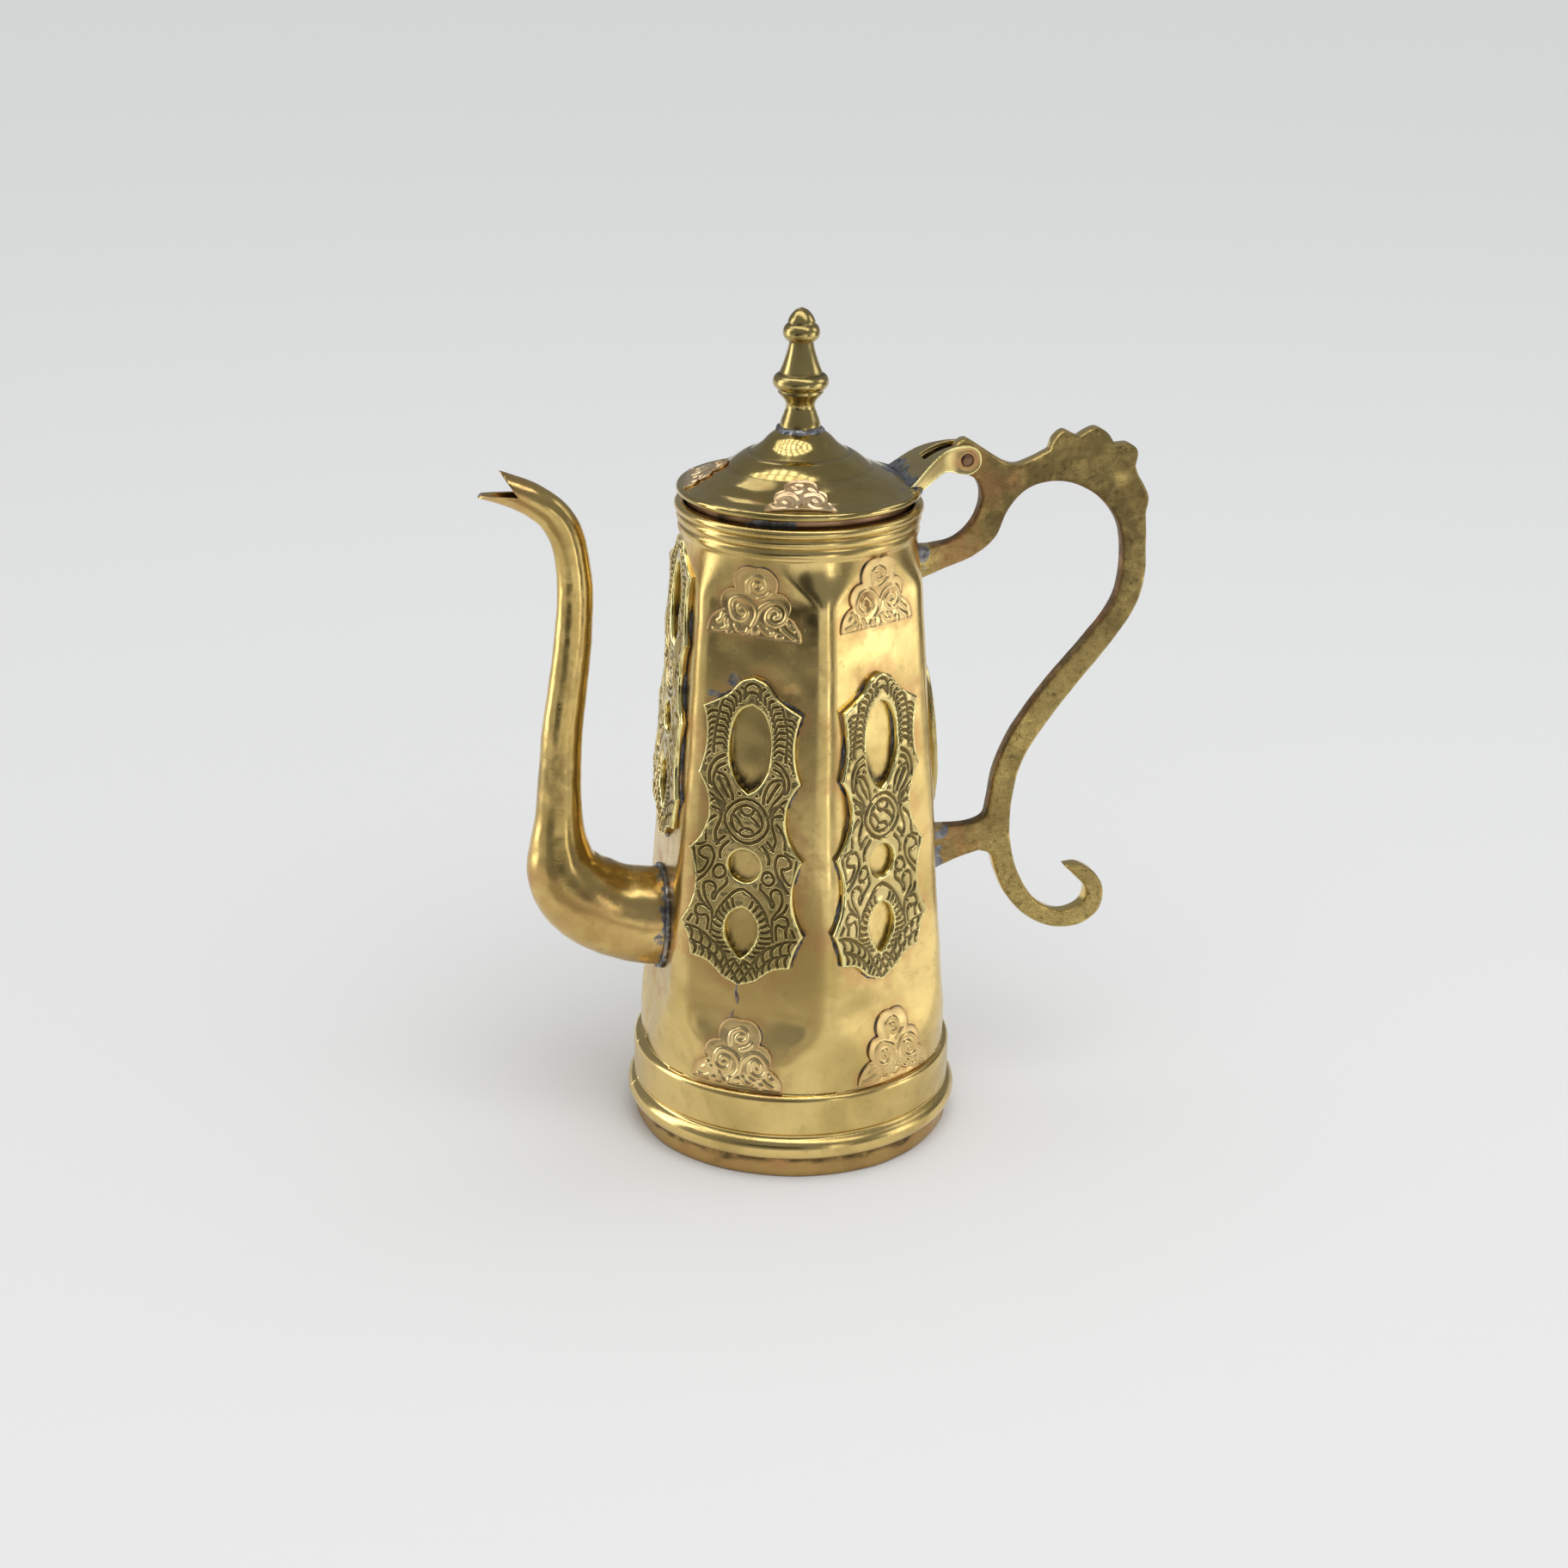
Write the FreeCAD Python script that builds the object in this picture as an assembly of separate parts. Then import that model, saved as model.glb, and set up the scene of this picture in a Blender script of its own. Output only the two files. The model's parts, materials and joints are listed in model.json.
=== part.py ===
import FreeCAD, Part
import math
import os

# Brass dallah coffee pot: a six-sided tapered sheet body on a round pan foot, a gooseneck
# spout with a beak mouth, a flat cast handle, and a domed lid that turns about a rivet
# through the nose of the handle.
# Units are millimetres.  The origin is the centre of the resting face, +Z is up, the handle
# points along +X and the spout along -X, so the lid turns about the Y direction.

V = FreeCAD.Vector
TAU = 2.0 * math.pi

# ---- driving dimensions ---------------------------------------------------------------
SHEET = 1.2                 # thickness of the sheet brass
FOOT_R = 51.0               # radius of the pan that the pot stands on
FOOT_H = 6.6
PAN_INNER_R = 49.7          # inside of the pan's upright rim, and of the body's lower edge
BEAD_R = 53.7               # widest point of the rounded bead above the pan
BAND_R = 51.6               # plain band between the bead and the facets
FACETS = 6
FACET_LOW_Z = 28.4          # where the facets start, at the top of the band
FACET_HIGH_Z = 197.6        # where they end, under the neck rings
FLAT_LOW_Z = 55.0           # the facets are truly flat between these two heights
FLAT_HIGH_Z = 183.0
APOTHEM_LOW = 46.4          # distance of a flat facet from the axis, at FACET_LOW_Z
APOTHEM_HIGH = 35.2         # and at FLAT_HIGH_Z
CORNER_R_LOW = 12.0         # rounding of the upright corners at FLAT_LOW_Z
CORNER_R_HIGH = 7.0         # and at FLAT_HIGH_Z
ROUND_LOW_R = 48.6          # the body is nearly round again where it meets the band,
ROUND_LOW_CORNER = 40.0     # with corners rounded to this radius
NECK_R = 36.6               # round neck
NECK_BORE_R = 35.2
LIP_Z = 206.0
LIP_R = 38.3

LID_R = 37.7                # rim of the lid
LID_Z = 209.7               # lower edge of the rim
LID_TOP_Z = 228.6
BEZEL_R = 34.6              # ring under the lid that drops into the neck
BEZEL_TIP_R = 34.2
BEZEL_Z = 203.8
TENON_R = 2.5               # of the finial, through the top of the lid

PIVOT_X = 51.8              # rivet of the lid
PIVOT_Z = 218.0
RIVET_R = 1.95
RIVET_CLEARANCE = 0.07      # radial play in the handle's nose
EYE_R = 4.6                 # round ends of the strap's ears
STRAP_ROOT_X = 32.0         # where the strap meets the lid
STRAP_ROOT_HALF = 14.0
STRAP_TIP_HALF = 4.45
STRAP_SHEET = 1.25
SLOT_HALF = 3.2             # slot of the strap, round the handle's nose
SLOT_X = 38.6

HANDLE_T = 5.4              # thickness of the cast handle
STRUT_END_T = 9.6           # the two struts widen to this at the body
PANEL_T = 2.6               # cast openwork panels
MEDALLION_T = 2.6
BADGE_T = 0.8               # embossed sheet badges
SPOUT_Z = 72.0              # height of the spout's opening in the body
SPOUT_HOLE_HALF_Z = 11.5
SPOUT_HOLE_HALF_Y = 9.5

SOLDER_T = 1.1              # solder fillets stand this far off the facets
COLLAR_GROW = 1.6           # the spout's solder collar is this much wider than the spout
COLLAR_T = 1.5
MEDALLION_Z = 131.0

TAPER = (APOTHEM_LOW - APOTHEM_HIGH) / (FLAT_HIGH_Z - FACET_LOW_Z)
TILT = math.atan(TAPER)


# ---- small helpers --------------------------------------------------------------------
def export(name, shape):
    """Write one node, and say whether its solids are sound."""
    solids = shape.Solids
    shape = solids[0] if len(solids) == 1 else Part.makeCompound(solids)
    shape.exportStep("parts/%s.step" % name)
    box = shape.BoundBox
    print("%-24s solids %d valid %s volume %9.1f  x %6.1f %6.1f  y %6.1f %6.1f  z %6.1f %6.1f"
          % (name, len(solids), shape.isValid(), shape.Volume,
             box.XMin, box.XMax, box.YMin, box.YMax, box.ZMin, box.ZMax))


def smoothstep(t):
    t = min(max(t, 0.0), 1.0)
    return t * t * (3.0 - 2.0 * t)


def between(a, b, t):
    return a + (b - a) * t


def on_xz(point, y=0.0):
    return V(point[0], y, point[1])


def on_xy(point, z=0.0):
    return V(point[0], point[1], z)


def outline(start, steps, place):
    """Closed wire: each step is one point (a line to it), or several (a smooth curve)."""
    edges = []
    here = start
    for step in steps:
        points = [here] + (step if isinstance(step, list) else [step])
        placed = [place(point) for point in points]
        if len(points) == 2:
            edges.append(Part.LineSegment(placed[0], placed[1]).toShape())
        elif len(points) == 3:
            edges.append(Part.Arc(placed[0], placed[1], placed[2]).toShape())
        else:
            curve = Part.BSplineCurve()
            curve.interpolate(placed)
            edges.append(curve.toShape())
        here = points[-1]
    if math.dist(here, start) > 1e-6:
        edges.append(Part.LineSegment(place(here), place(start)).toShape())
    return Part.Wire(edges)


def turned(start, steps):
    """Solid of revolution about Z from an outline in (radius, height)."""
    return Part.Face(outline(start, steps, on_xz)).revolve(V(0, 0, 0), V(0, 0, 1), 360)


def slab_xz(wire, half):
    """Extrude a wire drawn in the XZ plane to y = -half .. +half."""
    face = Part.Face(wire)
    face.translate(V(0, -half, 0))
    return face.extrude(V(0, 2 * half, 0))


# ---- facets ---------------------------------------------------------------------------
def flat_apothem(z):
    return APOTHEM_LOW - TAPER * (z - FACET_LOW_Z)


def body_section(z):
    """Apothem and corner radius of the body at height z: round, faceted, round again."""
    apothem = flat_apothem(z)
    corner = between(CORNER_R_LOW, CORNER_R_HIGH, (z - FLAT_LOW_Z) / (FLAT_HIGH_Z - FLAT_LOW_Z))
    low = smoothstep((FLAT_LOW_Z - z) / (FLAT_LOW_Z - FACET_LOW_Z))
    high = smoothstep((z - FLAT_HIGH_Z) / (FACET_HIGH_Z - FLAT_HIGH_Z))
    apothem = between(apothem, ROUND_LOW_R, low)
    corner = between(corner, ROUND_LOW_CORNER, low)
    apothem = between(apothem, NECK_R, high)
    corner = between(corner, NECK_R - 0.4, high)
    return apothem, corner


def facet_wire(z, offset):
    """Rounded hexagon at height z, with facets square to 0, 60, 120 ... degrees."""
    apothem, corner = body_section(z)
    apothem += offset
    corner += offset
    step = TAU / FACETS
    reach = (apothem - corner) / math.cos(step / 2)
    arcs = []
    for k in range(FACETS):
        middle = step * (k + 0.5)
        centre = V(reach * math.cos(middle), reach * math.sin(middle), z)
        arcs.append([centre + V(corner * math.cos(a), corner * math.sin(a), 0)
                     for a in (middle - step / 2, middle, middle + step / 2)])
    edges = []
    for k in range(FACETS):
        edges.append(Part.Arc(*arcs[k]).toShape())
        edges.append(Part.LineSegment(arcs[k][2], arcs[(k + 1) % FACETS][0]).toShape())
    return Part.Wire(edges)


def faceted_solid(offset):
    """The faceted part of the body, filled, with its surface moved out by offset."""
    low = [between(FACET_LOW_Z, FLAT_LOW_Z, k / 5.0) for k in range(6)]
    high = [between(FLAT_HIGH_Z, FACET_HIGH_Z, k / 5.0) for k in range(6)]
    return Part.makeLoft([facet_wire(z, offset) for z in low + high], True, True)


def facet_place(angle, z, shift=0.0, lean=0.0):
    """Placement on a facet: local X along it, local Y up it, local Z out of it."""
    a = math.radians(angle)
    across = V(-math.sin(a), math.cos(a), 0)
    out = V(math.cos(a) * math.cos(TILT), math.sin(a) * math.cos(TILT), math.sin(TILT))
    up = out.cross(across)
    reach = flat_apothem(z)
    base = V(reach * math.cos(a), reach * math.sin(a), z) + across * shift
    turn = FreeCAD.Rotation(across, up, out, "ZXY").multiply(FreeCAD.Rotation(V(0, 0, 1), lean))
    return FreeCAD.Placement(base, turn)


# ---- body -----------------------------------------------------------------------------
def base_ring():
    """Bead and band at the bottom of the body, rolled in the sheet."""
    return turned((PAN_INNER_R, FOOT_H), [
        (FOOT_R, FOOT_H),
        [(BEAD_R, 10.6), (51.9, 13.6)],
        [(51.1, 14.5), (BAND_R, 15.6)],
        (BAND_R, 26.4),
        [(51.1, 27.8), (49.9, FACET_LOW_Z)],
        (ROUND_LOW_R, FACET_LOW_Z),
        [(49.9, 27.2), (BAND_R - SHEET, 26.0)],
        (BAND_R - SHEET, 16.0),
        [(49.8, 14.5), (50.7, 13.0)],
        [(BEAD_R - SHEET, 10.6), (PAN_INNER_R, FOOT_H + SHEET)],
    ])


def neck_ring():
    """Two beads and the rolled lip round the mouth."""
    return turned((NECK_BORE_R, FACET_HIGH_Z), [
        (NECK_R, FACET_HIGH_Z),
        [(37.2, 199.3), (36.5, 201.0)],
        [(37.6, 202.9), (36.9, 204.4)],
        [(LIP_R, LIP_Z), (37.0, LIP_Z + 1.4)],
        [(35.7, LIP_Z + 1.3), (NECK_BORE_R, LIP_Z + 0.2)],
    ])


def body_shell(outer):
    hole = Part.Face(Part.Wire(Part.Ellipse(V(0, 0, 0), SPOUT_HOLE_HALF_Z, SPOUT_HOLE_HALF_Y).toShape()))
    hole.Placement = FreeCAD.Placement(V(-60, 0, SPOUT_Z), FreeCAD.Rotation(V(0, 1, 0), 90))
    tube = outer.cut(faceted_solid(-SHEET))
    tube = tube.cut(hole.extrude(V(40, 0, 0)))
    return tube.fuse([base_ring(), neck_ring()]).removeSplitter()


def base_pan():
    """Flat-bottomed pan with an upright rim, which closes and carries the body."""
    return turned((0, 0), [
        (FOOT_R - 1.0, 0),
        [(FOOT_R - 0.3, 0.3), (FOOT_R, 1.0)],
        (FOOT_R, FOOT_H),
        (PAN_INNER_R, FOOT_H),
        (PAN_INNER_R, SHEET),
        (0, SHEET),
    ])


# ---- spout ----------------------------------------------------------------------------
# Centre line (x, z) and width of the gooseneck, from inside the body to the beak.
SPOUT_LINE = [
    (-36.0, 71.0, 32.0), (-48.2, 72.4, 31.6), (-60.0, 75.8, 30.0), (-69.6, 82.4, 28.2),
    (-74.6, 90.6, 23.6), (-75.7, 98.4, 18.9), (-75.6, 107.5, 15.3), (-75.2, 119.5, 13.8),
    (-74.0, 136.5, 12.8), (-71.9, 153.5, 12.0), (-70.0, 170.0, 11.4), (-69.5, 181.0, 11.0),
    (-70.2, 191.0, 10.6), (-72.0, 199.0, 10.6), (-76.0, 205.6, 10.4), (-81.8, 210.3, 10.0),
    (-88.4, 213.4, 9.8), (-96.6, 216.4, 9.8),
]
SPOUT_DEPTH = 0.92          # width across the pot over width seen from the side
BEAK_NOTCH = (-86.5, 212.1)
BEAK_TOP = (-91.9, 220.2)
BEAK_LOW = (-97.0, 212.6)


def spout_solid(grow):
    """Loft of the gooseneck; grow is added to its radius all round."""
    count = len(SPOUT_LINE)
    wires = []
    for k, (x, z, width) in enumerate(SPOUT_LINE):
        before = SPOUT_LINE[max(k - 1, 0)]
        after = SPOUT_LINE[min(k + 1, count - 1)]
        along = V(after[0] - before[0], 0, after[1] - before[1]).normalize()
        side = V(along.z, 0, -along.x)
        half = width / 2.0 + grow
        half_y = width / 2.0 * SPOUT_DEPTH + grow
        ring = Part.Ellipse(V(0, 0, 0), half, half_y).toShape()
        turn = FreeCAD.Rotation(side, V(0, 1, 0), along, "ZXY")
        ring.Placement = FreeCAD.Placement(V(x, 0, z), turn)
        wires.append(Part.Wire(ring))
    return Part.makeLoft(wires, True, False)


def spout_piece(outer, body):
    """Hollow gooseneck, open into the pot, with the V of the beak cut in its end."""
    bore = spout_solid(-SHEET)
    beak = slab_xz(outline(BEAK_NOTCH, [BEAK_TOP, (-94.0, 226.0), (-106.0, 224.0),
                                        (-106.0, 208.0), BEAK_LOW], on_xz), 12.0)
    return outer.cut(bore).cut(body).cut(beak)


# ---- handle ---------------------------------------------------------------------------
def handle_outline():
    """Side view of the cast handle in (x, z), clockwise from the underside of the nose."""
    return outline((50.6, 213.8), [
        [(47.7, 216.2), (47.5, 219.8), (49.5, 223.1), (52.0, 224.2), (54.6, 222.9)],
        (61.8, 218.1),
        [(65.0, 216.3), (68.6, 215.3), (73.4, 216.8), (79.0, 219.4)],
        [(80.5, 223.2), (83.6, 225.5), (86.2, 224.4), (88.4, 223.4)],
        [(90.6, 224.8), (94.0, 226.0), (97.6, 224.2), (100.2, 220.4)],
        [(102.2, 220.5), (105.0, 220.5), (107.8, 218.2), (107.4, 213.2)],
        [(108.6, 210.2), (110.6, 207.0), (112.3, 203.2), (111.7, 198.0)],
        [(112.4, 188.0), (112.5, 176.0), (109.8, 167.0), (101.7, 154.6), (90.9, 141.3),
         (80.8, 127.6), (74.4, 116.0), (71.7, 102.0), (72.0, 89.4), (75.3, 77.6),
         (82.2, 67.2), (91.0, 63.0), (97.4, 65.3), (98.6, 70.6), (95.0, 75.0), (90.8, 79.2)],
        [(95.8, 79.4), (101.6, 75.9), (104.9, 69.6), (103.4, 62.2), (97.2, 57.7),
         (87.4, 57.8), (78.4, 62.4), (71.0, 70.8), (67.2, 79.2), (65.0, 85.4), (61.4, 87.0)],
        [(56.0, 85.6), (46.0, 82.3), (38.0, 80.0)],
        (38.0, 95.8),
        (50.0, 96.0),
        [(58.4, 96.7), (62.6, 98.6), (63.9, 103.4), (65.6, 114.4), (71.3, 128.0),
         (81.0, 141.9), (94.9, 158.4), (102.6, 169.4), (104.8, 181.0), (102.8, 195.0),
         (95.4, 204.2), (84.6, 209.2), (73.6, 208.1), (66.6, 201.6), (62.6, 192.6),
         (56.2, 187.1), (42.0, 181.8)],
        (31.0, 178.0),
        (31.0, 190.0),
        (42.0, 190.4),
        [(49.8, 192.6), (55.2, 197.8), (57.6, 205.6), (55.8, 210.9), (50.6, 213.8)],
    ], on_xz)


def handle_piece(body):
    """Plate with struts that widen towards the body, and a hole for the rivet."""
    wire = handle_outline()
    plate = slab_xz(wire, HANDLE_T / 2)
    thin, wide = HANDLE_T / 2, STRUT_END_T / 2
    flares = []
    for near, far, low, high in ((41.5, 53.0, 75.0, 100.0), (34.0, 47.0, 176.0, 194.0)):
        plan = outline((20.0, -wide), [(near, -wide), (far, -thin), (far, thin),
                                       (near, wide), (20.0, wide)],
                       lambda p, z=low: on_xy(p, z))
        flares.append(Part.Face(plan).extrude(V(0, 0, high - low)))
    flared = slab_xz(wire, wide).common(flares[0].fuse(flares[1]))
    bore = Part.makeCylinder(RIVET_R + RIVET_CLEARANCE, 2 * wide,
                             V(PIVOT_X, -wide, PIVOT_Z), V(0, 1, 0))
    return plate.fuse(flared).cut(bore).cut(body).removeSplitter()


def strut_solder(low_x, centre_z, half_y, half_z, keep_clear):
    """Fillet of solder round the end of a strut, on the facet."""
    block = Part.Face(outline((-half_y, -half_z * 0.7), [
        [(0, -half_z), (half_y, -half_z * 0.7)],
        (half_y, half_z * 0.7),
        [(0, half_z), (-half_y, half_z * 0.7)],
    ], lambda p: V(low_x, p[0], centre_z + p[1]))).extrude(V(20, 0, 0))
    fillet = block.common(faceted_solid(SOLDER_T))
    for shape in keep_clear:
        fillet = fillet.cut(shape)
    return fillet


# ---- lid ------------------------------------------------------------------------------
LID_OUTER = [[(9.4, 227.0), (12.0, 224.4), (15.0, 222.2)],
             [(17.0, 221.6), (20.0, 219.6), (22.0, 217.9)],
             [(27.0, 215.9), (32.0, 213.4), (35.9, 212.2)]]


def lid_outer_steps(lift):
    return [[(r, z + lift) for r, z in curve] for curve in LID_OUTER]


def lid_dome():
    """Spun dome with a stepped moulding, an ogee top and a rolled rim."""
    bead = 1.35
    rim_x = LID_R - bead
    under = [[(r - 0.45, z - SHEET) for r, z in reversed(curve)] for curve in
             [[(7.2, LID_TOP_Z)] + LID_OUTER[0][:-1], LID_OUTER[0][-1:] + LID_OUTER[1][:-1],
              LID_OUTER[1][-1:] + LID_OUTER[2][:-1]]]
    return turned((TENON_R, LID_TOP_Z), [
        (7.2, LID_TOP_Z), *lid_outer_steps(0.0),
        [(LID_R, LID_Z + bead), (rim_x, LID_Z)],
        (rim_x - 1.1, LID_Z + 0.4),
        (rim_x - 1.3, LID_Z + 1.5),
        under[2], under[1], under[0],
        (TENON_R, LID_TOP_Z - SHEET),
    ])


def lid_filled(lift):
    """The lid's outer shape, filled down to its rim and moved up by lift."""
    return turned((0, LID_TOP_Z + lift), [
        (7.2, LID_TOP_Z + lift), *lid_outer_steps(lift),
        [(LID_R, LID_Z + 1.35 + lift), (36.3, LID_Z)], (0, LID_Z)])


def lid_bezel(dome):
    """Tapered ring that centres the lid in the neck, soldered up under the dome."""
    ring = turned((BEZEL_R - 1.0, 216.0), [
        (BEZEL_R, 216.0), (BEZEL_R, LID_Z - 2.0), (BEZEL_TIP_R, BEZEL_Z),
        (BEZEL_TIP_R - 1.0, BEZEL_Z), (BEZEL_R - 1.0, LID_Z - 2.0)])
    pieces = ring.cut(dome).Solids
    return min(pieces, key=lambda solid: solid.BoundBox.ZMin)


def finial():
    """Turned knob with a bead, a waist and an acorn tip, and a tenon into the lid."""
    low = LID_TOP_Z
    return turned((0, low - SHEET - 0.9), [
        (TENON_R, low - SHEET - 0.9),
        (TENON_R, low),
        (6.3, low),
        [(6.1, low + 2.2), (5.0, low + 5.4), (4.4, low + 7.3), (4.7, low + 8.9),
         (6.9, low + 11.7)],
        (6.9, low + 12.6),
        [(8.5, low + 14.9), (7.0, low + 17.3)],
        (6.6, low + 17.6),
        [(5.6, low + 20.0), (4.3, low + 24.0), (3.6, low + 27.0)],
        [(5.6, low + 29.8), (4.2, low + 32.4)],
        [(4.1, low + 33.3), (3.3, low + 34.9), (1.9, low + 36.4), (0, low + 37.3)],
    ])


def finial_solder():
    low = LID_TOP_Z
    return turned((6.3, low), [(7.15, low), [(6.75, low + 0.45), (6.3, low + 1.3)]])


# ---- hinge ----------------------------------------------------------------------------
def strap_profile():
    """Side view of the strap in (x, z): top from the lid to the eye, and back below."""
    x, z, r = PIVOT_X, PIVOT_Z, EYE_R
    return outline((25.0, LID_Z), [
        [(STRAP_ROOT_X, 213.3), (37.4, 217.8), (41.0, 220.2), (46.0, 222.2), (x, z + r)],
        [(x + r, z), (x + 0.2, z - r)],
        [(48.4, 214.1), (45.0, 214.9), (40.6, 213.6), (36.0, 211.2), (33.0, LID_Z)],
    ], on_xz)


def strap_plan(inset):
    """Plan of the strap, narrowing from the lid to the ears, in (x, y)."""
    root, tip = STRAP_ROOT_HALF - inset, STRAP_TIP_HALF - inset
    right = [(26.0, root + 1.9), (34.0, root - 1.0), (40.5, root - 4.9), (46.5, tip + 0.9)]
    wire = outline((26.0, -root - 1.9), [
        [(x, -y) for x, y in right[1:]] + [(50.0, -tip)],
        (60.0, -tip),
        (60.0, tip),
        (50.0, tip),
        list(reversed(right)),
    ], on_xy)
    face = Part.Face(wire)
    face.translate(V(0, 0, 195.0))
    return face.extrude(V(0, 0, 40.0))


def hinge_strap(lid_solid):
    """Bent sheet: a slotted top plate between two ears that end in round eyes."""
    side = slab_xz(strap_profile(), 20.0)
    under = side.copy()
    under.translate(V(0.35, 0, -STRAP_SHEET))
    ears = side.common(strap_plan(0.0)).cut(strap_plan(STRAP_SHEET))
    plate = side.cut(under).common(strap_plan(0.0))
    plate = plate.common(Part.makeBox(30.0, 40.0, 40.0, V(24.0, -20.0, 205.0)))
    slot = Part.makeBox(30.0, 2 * SLOT_HALF, 40.0, V(SLOT_X, -SLOT_HALF, 200.0))
    bore = Part.makeCylinder(RIVET_R, 20.0, V(PIVOT_X, -10.0, PIVOT_Z), V(0, 1, 0))
    strap = ears.fuse(plate).cut(slot).cut(bore).cut(lid_solid)
    return max(strap.Solids, key=lambda solid: solid.Volume)


def hinge_rivet():
    """Pin with slightly domed ends, fixed in the ears and free in the handle."""
    end = STRAP_TIP_HALF
    shank = Part.makeCylinder(RIVET_R, 2 * end, V(PIVOT_X, -end, PIVOT_Z), V(0, 1, 0))
    ball_r = 8.0
    sink = math.sqrt(ball_r ** 2 - RIVET_R ** 2)
    dome = Part.makeSphere(ball_r, V(PIVOT_X, end - sink, PIVOT_Z))
    dome = dome.common(Part.makeSphere(ball_r, V(PIVOT_X, -end + sink, PIVOT_Z)))
    core = Part.makeCylinder(RIVET_R, 2 * end + 2.0, V(PIVOT_X, -end - 1.0, PIVOT_Z), V(0, 1, 0))
    return shank.fuse(dome.common(core)).removeSplitter()


# ---- ornaments ------------------------------------------------------------------------
PANEL_MID = 112.0           # the panel's outline is given about this height
PANEL_SIDE = [              # right-hand edge from the top point to the bottom point
    [(3.9, 160.0), (7.8, 155.6), (15.6, 151.2)],
    [(14.0, 140.4), (16.4, 129.8)],
    [(12.3, 117.8), (18.4, 105.4)],
    [(15.8, 93.6), (20.0, 81.6)],
    [(17.4, 76.2), (16.2, 70.6)],
    [(10.6, 69.0), (5.2, 64.7), (0.0, 62.6)],
]

OVAL_SIDE = [[(3.4, 150.9), (5.7, 146.4), (6.6, 139.4), (5.6, 132.4), (2.9, 127.2), (0.0, 124.9)]]
DROP_SIDE = [[(2.9, 86.9), (4.9, 83.8), (5.2, 80.0), (3.8, 76.0), (1.8, 73.2), (0.0, 71.5)]]


def both_sides(top, right_steps):
    """Close an outline whose right half is given, with its mirror image."""
    corners = [top] + [step[-1] for step in right_steps]
    left = []
    for k in range(len(right_steps) - 1, -1, -1):
        back = list(reversed(right_steps[k][:-1])) + [corners[k]]
        left.append([(-x, y) for x, y in back])
    return right_steps + left


def panel_blank():
    """Openwork casting in its own XY plane, back face at z = 0."""
    def lift(p):
        return V(p[0], p[1] - PANEL_MID, 0)

    top = (0.0, 161.5)
    body = Part.Face(outline(top, both_sides(top, PANEL_SIDE), lift)).extrude(V(0, 0, PANEL_T))
    drop = (0.0, 88.4)
    holes = [
        outline((0.0, 152.8), both_sides((0.0, 152.8), OVAL_SIDE), lift),
        outline((0.0, 107.0), [[(5.2, 101.8), (0.0, 96.6)], [(-5.2, 101.8), (0.0, 107.0)]], lift),
        outline(drop, both_sides(drop, DROP_SIDE), lift),
    ]
    for wire in holes:
        body = body.cut(Part.Face(wire).extrude(V(0, 0, PANEL_T)))
    return body


def medallion():
    """Oval plate between the struts of the handle."""
    blank = Part.Face(Part.Wire(Part.Ellipse(V(0, 0, 0), 28.0, 19.0).toShape()))
    solid = blank.extrude(V(0, 0, MEDALLION_T))
    solid.rotate(V(0, 0, 0), V(0, 0, 1), 90)
    solid.Placement = facet_place(0, MEDALLION_Z).multiply(solid.Placement)
    return solid


def badge_wire(width, height, place):
    """Palmette of five lobes on a straight foot, foot centred on the origin."""
    w, h = width / 2.0, height
    top = (0.0, h)
    right = [[(0.42 * w, 0.9 * h), (0.44 * w, 0.67 * h)],
             [(0.74 * w, 0.52 * h), (0.68 * w, 0.35 * h)],
             [(0.93 * w, 0.22 * h), (w, 0.0)]]
    steps = both_sides(top, right)
    foot = [(-w, 0.0)]
    return outline(top, steps[:len(right)] + foot + steps[len(right):], place)


def facet_badge(angle, z, shift, lean, skin):
    wire = badge_wire(29.8, 21.6, lambda p: V(p[0], p[1], -6.0))
    blank = Part.Face(wire).extrude(V(0, 0, 12.0))
    blank.Placement = facet_place(angle, z, shift, lean)
    return blank.common(skin)


def lid_badge(angle, skin):
    wire = badge_wire(21.4, 12.6, lambda p: V(34.6 - p[1], p[0], 200.0))
    blank = Part.Face(wire).extrude(V(0, 0, 40.0))
    blank.rotate(V(0, 0, 0), V(0, 0, 1), angle)
    return blank.common(skin)


# ---- the pot --------------------------------------------------------------------------
PANELS = {                  # facet angle, height of the middle, shift along the facet, lean
    "panel_front_left": (-120, PANEL_MID, -2.4, -1.1),
    "panel_front_right": (-60, PANEL_MID, -2.9, -2.0),
    "panel_back_left": (120, PANEL_MID, 1.2, 1.0),
    "panel_back_right": (60, PANEL_MID, -1.0, -1.4),
    "panel_spout_side": (180, 148.6, -1.0, 0.8),
}
CORNER_FACETS = {"front_left": -120, "front_right": -60, "back_left": 120, "back_right": 60}
TOP_BADGES = {              # height of the foot, shift along the facet, lean
    "front_left": (173.4, -2.4, -1.5),
    "front_right": (175.2, -1.0, -0.5),
    "back_left": (174.2, 1.4, 1.0),
    "back_right": (173.8, -0.6, -1.0),
}
LOW_BADGES = {
    "front_left": (29.6, -3.0, -2.0),
    "front_right": (29.4, -0.2, -1.0),
    "back_left": (29.4, 1.2, 1.0),
    "back_right": (29.5, -1.4, 1.5),
}
LID_BADGES = {"lid_badge_front": -102, "lid_badge_spout": 165, "lid_badge_back": 78}


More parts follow.
